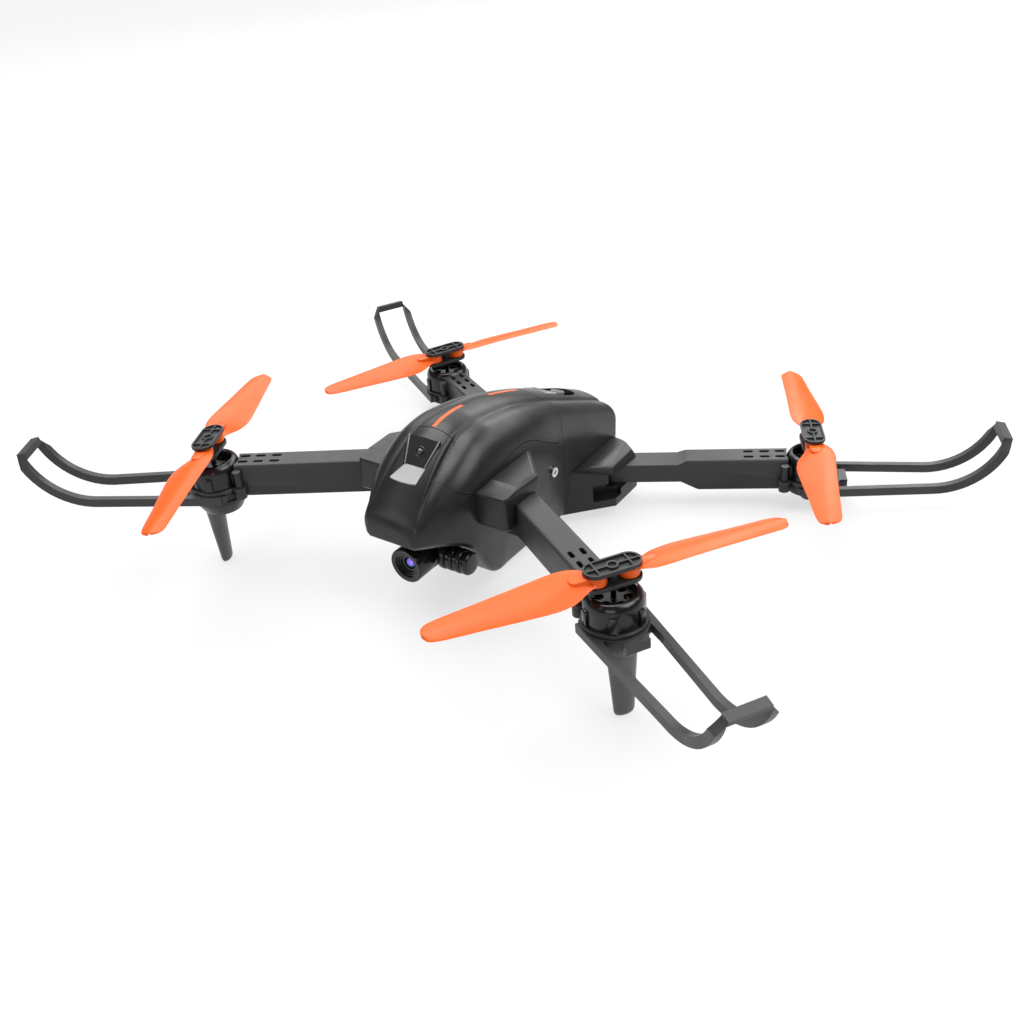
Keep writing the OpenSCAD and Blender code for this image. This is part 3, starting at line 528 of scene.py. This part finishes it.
def box_points(low, high):
    return [(x, y, z) for x in (low[0], high[0]) for y in (low[1], high[1]) for z in (low[2], high[2])]


def disc_points(centre, radius, low, high, count=48):
    return [(centre[0] + radius * math.cos(a), centre[1] + radius * math.sin(a), z)
            for a in np.linspace(0, 2 * math.pi, count, endpoint=False) for z in (low, high)]


def ball_points(centre, radius, count=20):
    """Points over a ball, so that the convex solid of several has rounded edges."""
    points = [(centre[0], centre[1], centre[2] + s * radius) for s in (-1, 1)]
    for tilt in np.linspace(-math.pi / 2, math.pi / 2, count // 2 + 1)[1:-1]:
        points += [(centre[0] + radius * math.cos(tilt) * math.cos(a),
                    centre[1] + radius * math.cos(tilt) * math.sin(a),
                    centre[2] + radius * math.sin(tilt))
                   for a in np.linspace(0, 2 * math.pi, count, endpoint=False)]
    return points


def carved(base, steps):
    """The mesh of base after each (operation, solid) in turn; all of them are used up."""
    for operation, other in steps:
        modifier = base.modifiers.new("step", "BOOLEAN")
        modifier.operation = operation
        modifier.object = other
        modifier.solver = "MANIFOLD"
    graph = bpy.context.evaluated_depsgraph_get()
    mesh = bpy.data.meshes.new_from_object(base.evaluated_get(graph))
    mesh.materials.clear()
    for thing in [base] + [other for _, other in steps]:
        bpy.data.objects.remove(thing)
    return mesh


def placed(mesh, matrix=Matrix.Identity(4), sharp_deg=30.0):
    """Puts a carved mesh in its place and shades it."""
    work = bmesh.new()
    work.from_mesh(mesh)
    bmesh.ops.remove_doubles(work, verts=work.verts, dist=0.001 * MM)
    bmesh.ops.transform(work, matrix=matrix, verts=work.verts)
    if matrix.determinant() < 0:
        bmesh.ops.reverse_faces(work, faces=work.faces)
    work.to_mesh(mesh)
    work.free()
    mesh.shade_smooth()
    mesh.set_sharp_from_angle(angle=math.radians(sharp_deg))
    return mesh


def hood_outline(gap):
    """The hood's edge seen from the side as (y, z), round over the top of the body."""
    lower = [(y, curve(SEAM_Z, y) - gap) for y in np.linspace(-68.4, 3.0, 60)]
    rear = [(curve(REAR_SEAM_Y, z) + gap * 0.5, z) for z in np.linspace(50.2, 90, 40)]
    return lower + rear + [(-68.4 - gap, 90)]


def pack_outline(gap=0.0):
    """The battery's outline seen from the side as (y, z)."""
    joint = [(max(curve(REAR_SEAM_Y, z) + SEAM_GAP, PACK_Y) - gap, z)
             for z in np.linspace(50.5, 90, 40)]
    return [(PACK_Y - gap, PACK_Z - gap), (70, PACK_Z - gap), (70, 90)] + joint[::-1]


def hinge_place(end):
    """(x, y) of a fold hinge in millimetres, on the left side."""
    at = JOINTS["fold_" + end + "_left"]["pos_m"]
    return at[0] / MM, at[1] / MM


HUB_Z = {"front": 63.2, "rear": 35.0}
ARM_ANGLE = {"front": -30.9, "rear": 28.4}
FOLD = {"front": 105, "rear": -75}
# The height of an arm's pocket, how far it reaches from the hinge, and the height of its pin hole
POCKET = {"front": (35.6, 51.7, 26), "rear": (12.0, 21.7, 30)}
PIN_HOLE = {"front": (30, 56), "rear": (8, 26)}


def pocket_outline(hinge, start, sweep, reach, half_w=6.6):
    """The plan of the space an arm needs as it folds about its hinge."""
    def at(angle, u, v):
        a = math.radians(angle)
        return (hinge[0] + u * math.cos(a) - v * math.sin(a),
                hinge[1] + u * math.sin(a) + v * math.cos(a))

    side = math.copysign(1, sweep)
    points = [at(start, 0, -side * half_w), at(start, reach, -side * half_w)]
    points += [at(start + sweep * t, reach + 1, 0) for t in np.linspace(0.03, 0.97, 14)]
    points += [at(start + sweep, reach, side * half_w), at(start + sweep, 0, side * half_w)]
    back = 180 * side + (start - 90 * side) - (start + sweep + 90 * side) + 180 * side
    points += [at(start + sweep + 90 * side + back * t, half_w + 0.4, 0) for t in np.linspace(0.1, 0.9, 12)]
    return points


def shoulder_solids(sign):
    """The block that holds a front hinge, its sloping roof and the lug under it."""
    block = []
    for x, y in ((20, -58.9), (38.6, -58.9), (39.6, -35.4), (20, -35.4)):
        inner_x, inner_y = (1 if x < 30 else -1), (1 if y < -50 else -1)
        block += ball_points((x + 3 * inner_x, y + 3 * inner_y, 54.9), 3)
        block += ball_points((x + 1.5 * inner_x, y + 1.5 * inner_y, 43), 1.5)
    roof = []
    for x, y in ((20, -52), (36.4, -52), (37, -37.6), (21.6, -21), (18, -21)):
        roof += ball_points((x, y, 55.5), 2.4)
    x, y = hinge_place("front")
    lug = box_points((20, y - 4, 31.8), (24, y + 4, 35.6)) + disc_points((x, y), 4.2, 31.8, 35.6, 32)
    return [convex("shoulder", block, sign), convex("roof", roof, sign), convex("lug", lug, sign)]


def housing_solid(sign):
    """The rear hinge's housing beside the body; its roof falls away outwards."""
    def roof(x):
        return 28 - 0.344 * (x - 23.7)

    wall = [(14, 6.5), (18.4, 11.3), (34.5, 28.4), (34, 48.5), (28, 51.5), (14, 51.5)]
    edge = [(14, 8.4), (17, 12.6), (32.7, 29.6), (32.2, 47.6), (27.4, 49.9), (14, 49.9)]
    return convex("housing", [(x, y, z) for x, y in wall for z in (BELLY_Z, roof(x) - 2.9)]
                  + [(x, y, roof(x)) for x, y in edge], sign, 0.6)


def window_solid():
    """The recess of the slanted sensor panel in the nose."""
    return convex("window", [(s * x, y, z) for s in (-1, 1) for x, y, z in
                             [(5.3, -64.9, 65.3), (8.1, -56.7, 74.1), (8.1, -56.7, 82), (6.7, -73.5, 63.0),
                              (6.9, -77, 62.2), (8.1, -77, 82)]])


def inner_space():
    """The hollow of the hull, less the walls, deck and rests that stand in it."""
    walls = [(s * x, y, z) for s in (-1, 1)
             for x, y, z in [(9.2, -80, 60), (9.2, -63.4, 63.2), (9.2, -53.6, 72.6), (9.2, -53.6, 80),
                             (9.2, -80, 80)]]
    kept = [convex("window_walls", walls), convex("deck", box_points((-30, 5, 25.5), (30, 65, 27)))]
    for x in (-19, 14.6):
        for y in (-36, 32):
            kept.append(convex("board_rest", box_points((x, y, 6), (x + 4.4, y + 4, 15.9))))
    hollow = carved(body_loft("inside", WALL, 40, 3.0), [("DIFFERENCE", thing) for thing in kept])
    return as_object("inside", hollow)


def side_holes(sign):
    """The pockets, pin holes, screw hole and vent on one side of the hull."""
    holes = []
    for end in ENDS:
        hinge = hinge_place(end)
        low, high, reach = POCKET[end]
        plan = pocket_outline(hinge, ARM_ANGLE[end], FOLD[end], reach)
        holes.append(prism("pocket", plan, low, high, "z", sign))
        holes.append(convex("pin_hole", disc_points(hinge, 2.1, *PIN_HOLE[end], 32), sign))
    screw = [(z, x, y) for x, y, z in disc_points((-4.3, 37.5), 2.5, 21, 29, 32)]
    holes.append(convex("screw_hole", screw, sign))
    vent = [(x + u, y - u, z) for x, y in [(27.2, 20.6), (36.7, 30.7)] for u in (-4.5, 2)
            for z in (9.2, 17.6)]
    holes.append(convex("vent", vent, sign))
    return holes


def add_lower_hull(materials):
    added = []
    for sign in (1, -1):
        added += shoulder_solids(sign) + [housing_solid(sign)]
    added.append(convex("camera_seat", box_points((-13, -66.3, 32.1), (13, -58.3, 36.1))))
    bay = [(PACK_Y - SEAM_GAP, 27), (70, 27), (70, 90)] + pack_outline(SEAM_GAP)[3:]
    removed = [inner_space(), hood_cutter(), prism("bay", bay, -60, 60, "x"), window_solid()]
    for sign in (1, -1):
        removed += side_holes(sign)
    removed.append(convex("belly", box_points((-14.2, -36.2, 0), (14.2, 44.2, 12))))
    removed.append(convex("camera_slot", box_points((-12, -66.5, 20), (8.4, -59.6, 32.1))))
    for x in (-8, -4, 0, 4, 8):
        removed.append(convex("groove", box_points((x - 0.6, -66.5, 31), (x + 0.6, -59.5, 32.5))))
    steps = [("UNION", thing) for thing in added] + [("DIFFERENCE", thing) for thing in removed]
    mesh = placed(carved(body_loft("hull"), steps))
    piece = link("hull_shell", mesh, "hull", "shell", materials, ("lower_hull",))
    flat = piece.modifiers.new("flat faces", "WEIGHTED_NORMAL")
    flat.keep_sharp = True


def hood_cutter(gap=0.0):
    """Everything above the hood's edge but the visor strip ahead of it."""
    whole = prism("hood_region", hood_outline(SEAM_GAP - gap), -60, 60, "x")
    strip = convex("visor", box_points((-VISOR_HALF_W + gap - SEAM_GAP, -90, 50),
                                       (VISOR_HALF_W - gap + SEAM_GAP, VISOR_Y + gap - SEAM_GAP, 100)))
    return as_object("hood_region", carved(whole, [("DIFFERENCE", strip)]))


def add_hood(materials):
    steps = [("DIFFERENCE", body_loft("inside", WALL, 40, 3.0)), ("INTERSECT", hood_cutter(SEAM_GAP))]
    mesh = placed(carved(body_loft("hood"), steps))
    link("hood", mesh, "hull", "shell", materials, ("upper_canopy",))


def on_back(y, points):
    """Points of a frame on the battery's sloping back, as (across, down the slope, out)."""
    a = math.radians(-23.3)
    z0 = curve(SPINE_Z, y)
    return [(px, y + py * math.cos(a) - pz * math.sin(a), z0 + py * math.sin(a) + pz * math.cos(a))
            for px, py, pz in points]


def oval(half_w, half_l, low, high, middle=0.0, power=3.2):
    """A rounded oblong column, as points (across, along, out)."""
    points = []
    for t in np.linspace(0, 2 * math.pi, 64, endpoint=False):
        c, s = math.cos(t), math.sin(t)
        x = half_w * math.copysign(abs(c) ** (2 / power), c)
        y = middle + half_l * math.copysign(abs(s) ** (2 / power), s)
        points += [(x, y, low), (x, y, high)]
    return points


def add_battery_case(materials):
    rails = []
    for x in (-12, -6, 6, 12):
        for y in (-28, -12):
            rails.append(("UNION", convex("rail", box_points((x - 0.8, y, 28.6), (x + 0.8, y + 12, 30.6))
                                          + box_points((x - 0.5, y + 1, 28.2), (x + 0.5, y + 11, 30.2)))))
    tongue = convex("tongue", box_points((-13.5, -30, 30), (13.5, 10, 53.5)), edge_mm=0.5, segments=2)
    steps = [("INTERSECT", prism("pack_region", pack_outline(), -60, 60, "x")), ("UNION", tongue)] + rails
    steps.append(("DIFFERENCE", convex("cell_bay", box_points((-12.3, -28.3, 31.2), (12.3, 31.9, 49.8)))))
    for x in (-9, -3, 3, 9):
        steps.append(("DIFFERENCE", convex("terminal", box_points((x - 1.2, -31, 33), (x + 1.2, -27, 39)))))
    steps.append(("DIFFERENCE", convex("recess", on_back(31, oval(8, 13.4, -3.2, 7, 0.5)))))
    steps.append(("DIFFERENCE", convex("button_hole", on_back(37, oval(3.5, 3.5, -5.6, 0.4, 0, 2)))))
    mesh = placed(carved(body_loft("battery"), steps))
    link("battery_skin", mesh, "battery", "shell", materials, ("battery_case",))


STRIPE_HALF_W = 0.9
STRIPE_LIFT = 0.05


def strip_mesh(name, y_from, y_to):
    """A thin printed stripe that follows the top of the hood."""
    rows = []
    for y in np.linspace(y_from, y_to, 30):
        top = half_section(y)[:12]
        rows.append([(x, y, float(np.interp(abs(x), top[:, 0], top[:, 1])) + STRIPE_LIFT)
                     for x in np.linspace(-STRIPE_HALF_W, STRIPE_HALF_W, 5)])
    work = bmesh.new()
    verts = [[work.verts.new(Vector(p) * MM) for p in row] for row in rows]
    for a, b in zip(verts, verts[1:]):
        for j in range(4):
            work.faces.new((a[j], a[j + 1], b[j + 1], b[j]))
    bmesh.ops.recalc_face_normals(work, faces=work.faces)
    mesh = bpy.data.meshes.new(name)
    work.to_mesh(mesh)
    work.free()
    mesh.shade_smooth()
    return mesh


def add_stripes(materials):
    for name, y_from, y_to in (("stripe_front", -51.0, -32.0), ("stripe_rear", -14.2, 5.9)):
        link(name, strip_mesh(name, y_from, y_to), "hull", "blade", materials)


# ---- blades -----------------------------------------------------------------------------------
# A blade lies along +x from its pivot; each list is (radius, value) in millimetres.

ROTOR_X = {"front": 101.65, "rear": 104.9}
ROTOR_Y = {"front": -83.4, "rear": 83.4}
PIVOT_R = 6.4
LEAD_Y = [(5, -3.4), (8, -3.9), (11, -5.6), (14, -6.8), (20, -7.2), (30, -6.6), (42, -5.9), (52, -5.4),
          (62, -4.9), (67, -4.3), (69.2, -2.6), (70, -0.4)]
TRAIL_Y = [(5, 3.4), (8, 3.9), (11, 4.6), (14, 6.2), (18, 8.2), (24, 9.2), (30, 9), (42, 7.8), (52, 6.7),
           (60, 6), (66, 5.2), (69, 3.8), (70, 1.2)]
LEAD_Z = [(5, -2.7), (8, -2.6), (12, -2.2), (20, -1.9), (30, -2.3), (42, -3), (52, -3.6), (62, -4.2),
          (70, -4.9)]
TRAIL_Z = [(5, -4.7), (8, -4.7), (14, -5.5), (22, -5.8), (30, -5.7), (50, -5.6), (70, -5.4)]
BLADE_T = [(5, 1.2), (14, 1.1), (30, 0.9), (60, 0.7), (70, 0.5)]
HUB_ANGLE = {"front_left": -122.6, "front_right": -117.25, "rear_left": -59.4, "rear_right": -63.3}
# The small lag of each corner's two blades, in degrees
TURNS = {"front_left": (-0.2, 0.2), "front_right": (-1.5, 1.5), "rear_left": (1.5, -1.5),
         "rear_right": (-0.2, 0.2)}
BLADE_R = [5, 6, 7, 8, 9.5, 11, 12.5, 14, 16, 18, 20, 22, 25, 28, 32, 36, 40, 44, 48, 52, 56, 60, 63, 65,
           66, 67, 67.7, 68.3, 68.8, 69.2, 69.5, 69.75, 69.9, 70]
BLADE_BOSS = [(3.6, -5.85), (3.85, -5.75), (3.9, -5.5), (3.9, -2), (3.8, -1.75), (3.5, -1.65)]


def place(corner, angle):
    """The frame at a corner's rotor shaft and hub top, turned by angle, mirrored on the right side."""
    end, side = corner.split("_")
    at = Matrix.Translation(Vector((ROTOR_X[end], ROTOR_Y[end], HUB_Z[end])) * MM)
    mirror = Matrix.Diagonal((-1 if side == "right" else 1, 1, 1, 1))
    return mirror @ at @ Matrix.Rotation(math.radians(angle), 4, "Z")


def blade_ring(r, steps=26):
    """The blade's cambered section at a radius."""
    y0, y1, z0, z1 = (curve(keys, r) for keys in (LEAD_Y, TRAIL_Y, LEAD_Z, TRAIL_Z))
    ring = []
    for i in range(2 * steps):
        s = i / steps if i <= steps else 2 - i / steps
        up = 0 if i in (0, steps) else -1 if i < steps else 1
        camber = 0.9 * math.sin(math.pi * s) * min((r - 5) / 9, 1)
        half_t = 0.5 * curve(BLADE_T, r) * math.sin(math.pi * s) ** 0.5
        ring.append((r, y0 + (y1 - y0) * s, z0 + (z1 - z0) * s + camber + up * half_t))
    return ring


def lathe_rings(profile, count=48, centre=(0, 0)):
    """Rings about a vertical axis from a profile of (radius, height)."""
    return [[(centre[0] + r * math.cos(a), centre[1] + r * math.sin(a), z)
             for a in np.linspace(0, 2 * math.pi, count, endpoint=False)] for r, z in profile]


def stadium_ring(x0, x1, r, z, count=40):
    """A ring with round ends about x0 and x1."""
    return [((x1 if math.cos(a) > 0 else x0) + r * math.cos(a), r * math.sin(a), z)
            for a in np.linspace(0, 2 * math.pi, count, endpoint=False) + 0.001]


def finish_mesh(name, work, matrix, sharp_deg=35.0):
    """A mesh from a bmesh in millimetres, put in its place by matrix (metres)."""
    bmesh.ops.scale(work, vec=(MM, MM, MM), verts=work.verts)
    bmesh.ops.transform(work, matrix=matrix, verts=work.verts)
    bmesh.ops.recalc_face_normals(work, faces=work.faces)
    mesh = bpy.data.meshes.new(name)
    work.to_mesh(mesh)
    work.free()
    mesh.shade_smooth()
    mesh.set_sharp_from_angle(angle=math.radians(sharp_deg))
    return mesh


def add_blade(corner, which, materials):
    end = corner.split("_")[0]
    work = bmesh.new()
    add_rings(work, [blade_ring(r) for r in BLADE_R])
    add_rings(work, lathe_rings(BLADE_BOSS, centre=(PIVOT_R, 0)))
    add_rings(work, [stadium_ring(PIVOT_R, PIVOT_R + 8, r, z)
                     for r, z in ((2.4, -3.8), (2.4, -2.15), (2.25, -1.88), (1.95, -1.75))])
    if end == "rear":
        bmesh.ops.scale(work, vec=(1, -1, 1), verts=work.verts)
    turn = TURNS[corner]["ab".index(which)]
    pivot = Matrix.Translation((PIVOT_R * MM, 0, 0))
    lag = pivot @ Matrix.Rotation(math.radians(-turn if end == "rear" else turn), 4, "Z") @ pivot.inverted()
    angle = HUB_ANGLE[corner] + (180 if which == "b" else 0)
    node = "blade_" + corner + "_" + which
    mesh = finish_mesh(node + "_smooth", work, place(corner, angle) @ lag, 60)
    link(node + "_piece", mesh, body_of(node), "blade", materials, (node,))


# ---- legs, motor tops and cameras ---------------------------------------------------------------


# The leg's ovals from the top down, as (height, half width, half length)
LEG = [(-35.6, 3.9, 6.0), (-35.2, 3.9, 6.0), (-45, 3.35, 5.3), (-54, 2.8, 4.7), (-61.2, 2.42, 4.25),
       (-62.2, 2.3, 4.1), (-62.8, 2.05, 3.8), (-63.1, 1.6, 3.3), (-63.2, 1.1, 2.8)]


def add_leg(side, materials):
    """A smooth tapering leg with a rounded tip."""
    work = bmesh.new()
    rings = []
    for z, half_w, half_l in LEG:
        rings.append([(4.5 + half_w * math.cos(a), half_l * math.sin(a), z)
                      for a in np.linspace(0, 2 * math.pi, 48, endpoint=False)])
    add_rings(work, rings)
    node = "leg_" + side
    mesh = finish_mesh(node + "_smooth", work, place("front_" + side, ARM_ANGLE["front"]), 40)
    mesh.materials.append(materials["leg"])
    link(node + "_piece", mesh, body_of(node), "trim", materials, (node,))


ARM_W = 12.0
ARM_TOP_Z, ARM_LOW_Z = -11.8, -27.2
NECK_TOP_Z, NECK_LOW_Z = -13.7, -22.6
POD_RIM_Z, COLLAR_Z = -21.8, -23.3
BEAM_END = -10.6


def rounded_section(half_w, low, high, low_r, high_r, steps=6):
    """The outline (across, up) of a beam with rounded corners."""
    points = []
    for cx, cz, r, start in ((half_w, high, high_r, 0), (-half_w, high, high_r, 90),
                             (-half_w, low, low_r, 180), (half_w, low, low_r, 270)):
        ox = cx - math.copysign(r, cx)
        oz = cz - r if cz == high else cz + r
        for i in range(steps + 1):
            a = math.radians(start + 90 * i / steps)
            points.append((ox + r * math.cos(a), oz + r * math.sin(a)))
    return points


def pill(u, v, half_l, half_w, low, high):
    """A long hole with round ends."""
    points = []
    for sign in (-1, 1):
        centre = (u + sign * (half_l - half_w), v)
        points += disc_points(centre, half_w, low, high, 20)
    return convex("pill", points)


def add_arm(corner, materials):
    """A hinged arm: its rounded beam, its root, the pod under the motor and the post beside it."""
    end = corner.split("_")[0]
    hinge_x = hinge_place(end)[0]
    reach = (ROTOR_X[end] - hinge_x) / math.cos(math.radians(ARM_ANGLE[end]))
    half_w = ARM_W / 2
    beam = prism("beam", rounded_section(half_w, ARM_LOW_Z, ARM_TOP_Z, 1.0, 1.5), -reach, BEAM_END, "x")
    low, high = (ARM_LOW_Z, ARM_TOP_Z) if end == "front" else (NECK_LOW_Z, NECK_TOP_Z)
    steps = []
    if end == "rear":
        side = [(-reach - 1, low), (-58.6, low), (-50, ARM_LOW_Z), (0, ARM_LOW_Z - 1), (0, ARM_TOP_Z + 1),
                (-55.5, ARM_TOP_Z), (-60, high), (-reach - 1, high)]
        steps.append(("INTERSECT", prism("side", side, -20, 20, "y")))
    steps.append(("UNION", convex("root", disc_points((-reach, 0), half_w, low, high, 64))))
    pod = [(11.4, ARM_LOW_Z - 0.2), (11.4, COLLAR_Z), (12.15, COLLAR_Z), (12.4, COLLAR_Z + 0.25),
           (12.4, POD_RIM_Z - 0.25), (12.15, POD_RIM_Z)]
    steps.append(("UNION", through_rings("pod", lathe_rings(pod, 72))))
    for r, z0, z1 in ((2.55, -26.4, -21.6), (2.8, -22.2, -21.4), (1.5, -21.9, -13.8), (1.75, -14.4, -13.6)):
        steps.append(("UNION", convex("post", disc_points((-12.1, -8), r, z0, z1, 36))))
    for name, r, floor in (("bore", 9.8, ARM_LOW_Z + 1.2), ("seat", 11.35, POD_RIM_Z)):
        steps.append(("DIFFERENCE", through_rings(name, lathe_rings([(r, floor), (r, 3)], 64))))
    for u in (-28, -20.8, -13.9):
        for v in (-2.4, 2.4):
            steps.append(("DIFFERENCE", pill(u, v, 2.3, 0.95, ARM_TOP_Z - 2, ARM_TOP_Z + 1)))
    inner_end, inner_low = (12 - reach, -25.8) if end == "front" else (-52, -24.6)
    hollow = box_points((inner_end, -4.4, inner_low), (-2, 4.4, -13.4))
    steps.append(("DIFFERENCE", convex("hollow", hollow)))
    steps.append(("DIFFERENCE", convex("pin_bore", disc_points((-reach, 0), 2.05, -40, 0, 32))))
    node = "arm_" + corner
    mesh = placed(carved(beam, steps), place(corner, ARM_ANGLE[end]))
    mesh.materials.append(materials["arm"])
    link(node + "_piece", mesh, body_of(node), "shell", materials, (node,))


def add_pod_cap(corner, materials):
    """The motor's glossy cap: a rounded shoulder round an open crater, with six lugs."""
    end = corner.split("_")[0]
    shoulder = [(8.3 + 2.9 * math.cos(a), -15.3 + 4.4 * math.sin(a))
                for a in np.linspace(0, math.pi / 2, 14)]
    base = through_rings("cap", lathe_rings([(11.2, POD_RIM_Z + 0.1), (11.2, -15.8)] + shoulder, 72))
    steps = []
    for i in range(6):
        a = math.radians(30 + 60 * i)
        lug = [(x * math.cos(a) - y * math.sin(a), x * math.sin(a) + y * math.cos(a), z)
               for x, y, z in box_points((10.4, -1.6, -21.3), (12.15, 1.6, -15.9))
               + box_points((10.4, -1.3, -16), (11.8, 1.3, -15.2))]
        steps.append(("UNION", convex("lug", lug, edge_mm=0.25, segments=2)))
    crater = [(10, -24), (10, -16), (9.7, -15), (7.6, -13.2), (7.6, -12), (7.8, -11.4), (8.2, -10.98),
              (8.5, -10)]
    steps.append(("DIFFERENCE", through_rings("crater", lathe_rings(crater, 72))))
    beam_gap = box_points((-30, -ARM_W / 2 - 0.2, -40), (BEAM_END, ARM_W / 2 + 0.2, 0))
    steps.append(("DIFFERENCE", convex("beam_gap", beam_gap)))
    node = "pod_cap_" + corner
    mesh = placed(carved(base, steps), place(corner, ARM_ANGLE[end]), 35)
    link(node + "_piece", mesh, body_of(node), "trim", materials, (node,))


def add_sensor_panel(materials):
    """The slanted face in the nose: a rimmed, finely ribbed plate round a small glass eye."""
    foot, head = Vector((0, -64.9, 65.5)), Vector((0, -56.7, 74.3))
    up = (head - foot).normalized()
    out = Vector((1, 0, 0)).cross(up)
    length = (head - foot).length

    def at(x, t, lift):
        half = 5.2 + 2.7 * t
        return foot + up * (length * t) + Vector((x * half, 0, 0)) + out * lift

    work = bmesh.new()
    outline = [(-1, 0.02), (1, 0.02), (1, 0.98), (-1, 0.98)]
    add_rings(work, [[at(x, t, lift) for x, t in outline] for lift in (-0.5, 0.35)])
    plate = finish_mesh("sensor_plate", work, Matrix.Identity(4), 30)
    plate.materials.append(materials["sensor_plate"])
    link("sensor_plate", plate, "hull", "trim", materials, ("nose_sensor_panel",))
    work = bmesh.new()
    for x in (-1, 1):
        rim = [(x * 0.99, 0.0), (x * 0.93, 0.0), (x * 0.93, 1.0), (x * 0.99, 1.0)]
        add_rings(work, [[at(u, t, lift) for u, t in rim] for lift in (0.3, 0.75)])
    rims = finish_mesh("sensor_rims", work, Matrix.Identity(4), 30)
    link("sensor_rims", rims, "hull", "key", materials)
    ledge = [(x, y, z + lift)
             for x, y, z in ((-6.6, -73.3, 63.1), (6.6, -73.3, 63.1), (0, -74.1, 62.9),
                             (-3.6, -73.9, 62.95), (3.6, -73.9, 62.95),
                             (-5.2, -64.9, 65.35), (5.2, -64.9, 65.35))
             for lift in (-0.3, 0.2)]
    link("sensor_ledge", placed(carved(convex("ledge", ledge), [])), "hull", "key", materials)
    middle = foot.lerp(head, 0.5)
    basis = Matrix((Vector((1, 0, 0)), up, out)).transposed().to_4x4()
    seat = Matrix.Translation(middle * MM) @ basis
    work = bmesh.new()
    add_rings(work, lathe_rings([(2.3, 0.0), (2.3, 0.5), (2.15, 0.62), (1.95, 0.62), (1.8, 0.5),
                                 (1.7, 0.3), (0.2, 0.3)]))
    ring = finish_mesh("sensor_ring", work, seat, 40)
    link("sensor_ring", ring, "hull", "trim", materials)
    work = bmesh.new()
    dome = [(1.45 * math.cos(a), 0.25 + 1.2 * math.sin(a)) for a in np.linspace(0, 1.5, 12)]
    add_rings(work, lathe_rings(dome))
    eye = finish_mesh("sensor_eye", work, seat, 60)
    eye.materials.append(materials["eye"])
    link("sensor_eye", eye, "hull", "lens", materials, ("nose_sensor_lens",))


def add_tilt_motor(materials):
    """The motor beside the camera: a stack of rounded discs about the tilt axis."""
    profile = [(0.5, 8.3), (5.1, 8.3), (5.4, 8.6), (5.4, 10.4), (5.1, 10.8), (4.4, 11), (4.4, 11.9)]
    for x in (12.1, 16):
        profile += [(4.8, x), (5.2, x + 0.3), (5.2, x + 2.2), (4.8, x + 2.6), (4.3, x + 2.8),
                    (4.3, x + 3.6)]
    profile += [(4.7, 19.9), (5.0, 20.2), (5.0, 21.5), (4.5, 22.2), (3.6, 22.5), (0.5, 22.5)]
    work = bmesh.new()
    add_rings(work, lathe_rings(profile, 56))
    at = Vector(JOINTS["camera_tilt"]["pos_m"])
    seat = Matrix.Translation((0, at.y, at.z)) @ Matrix.Rotation(math.pi / 2, 4, "Y")
    mesh = finish_mesh("tilt_motor_smooth", work, seat, 50)
    link("tilt_motor_piece", mesh, "hull", SLOT_OF["tilt_motor"], materials, ("tilt_motor",))


def add_lens_barrel(materials):
    """The camera's barrel: a rounded sleeve with fine steps down to the glass."""
    glass = nodes["camera_lens_glass"]
    places = [glass.matrix_world @ v.co / MM for v in glass.data.vertices]
    x = 0.5 * (min(p.x for p in places) + max(p.x for p in places))
    z = 0.5 * (min(p.z for p in places) + max(p.z for p in places))
    front = min(p.y for p in places) - 2.0
    profile = [(7.45, 10.4), (7.75, 10.0), (7.8, 0.5), (7.65, 0.1), (7.3, -0.2), (6.9, -0.2), (6.5, 0.0),
               (5.7, 0.15), (5.4, 0.35), (5.35, 0.9), (4.7, 0.95), (4.6, 1.15), (4.55, 1.6), (3.9, 1.65),
               (3.8, 1.85), (3.75, 2.3), (3.1, 2.35), (2.75, 2.5), (2.6, 4.45)]
    work = bmesh.new()
    add_rings(work, lathe_rings(profile, 64))
    seat = Matrix.Translation(Vector((x, front, z)) * MM) @ Matrix.Rotation(-math.pi / 2, 4, "X")
    mesh = finish_mesh("lens_barrel_smooth", work, seat, 30)
    slot_name = SLOT_OF["camera_lens_barrel"]
    link("lens_barrel_piece", mesh, "camera", slot_name, materials, ("camera_lens_barrel",))


bpy.context.scene.view_settings.view_transform = "Standard"
add_camera()
add_stage()
materials = make_materials()
add_lower_hull(materials)
add_hood(materials)
add_battery_case(materials)
add_stripes(materials)
add_sensor_panel(materials)
add_tilt_motor(materials)
add_lens_barrel(materials)
for side in SIDES:
    add_leg(side, materials)
for corner in CORNERS:
    add_arm(corner, materials)
    add_pod_cap(corner, materials)
    for which in "ab":
        add_blade(corner, which, materials)
done = ("lower_hull", "upper_canopy", "battery_case", "nose_sensor_panel", "nose_sensor_lens", "tilt_motor",
        "camera_lens_barrel")
for node in nodes:
    if node not in done and not node.startswith(("blade_", "leg_", "arm_", "pod_cap_")):
        refined(node, materials)
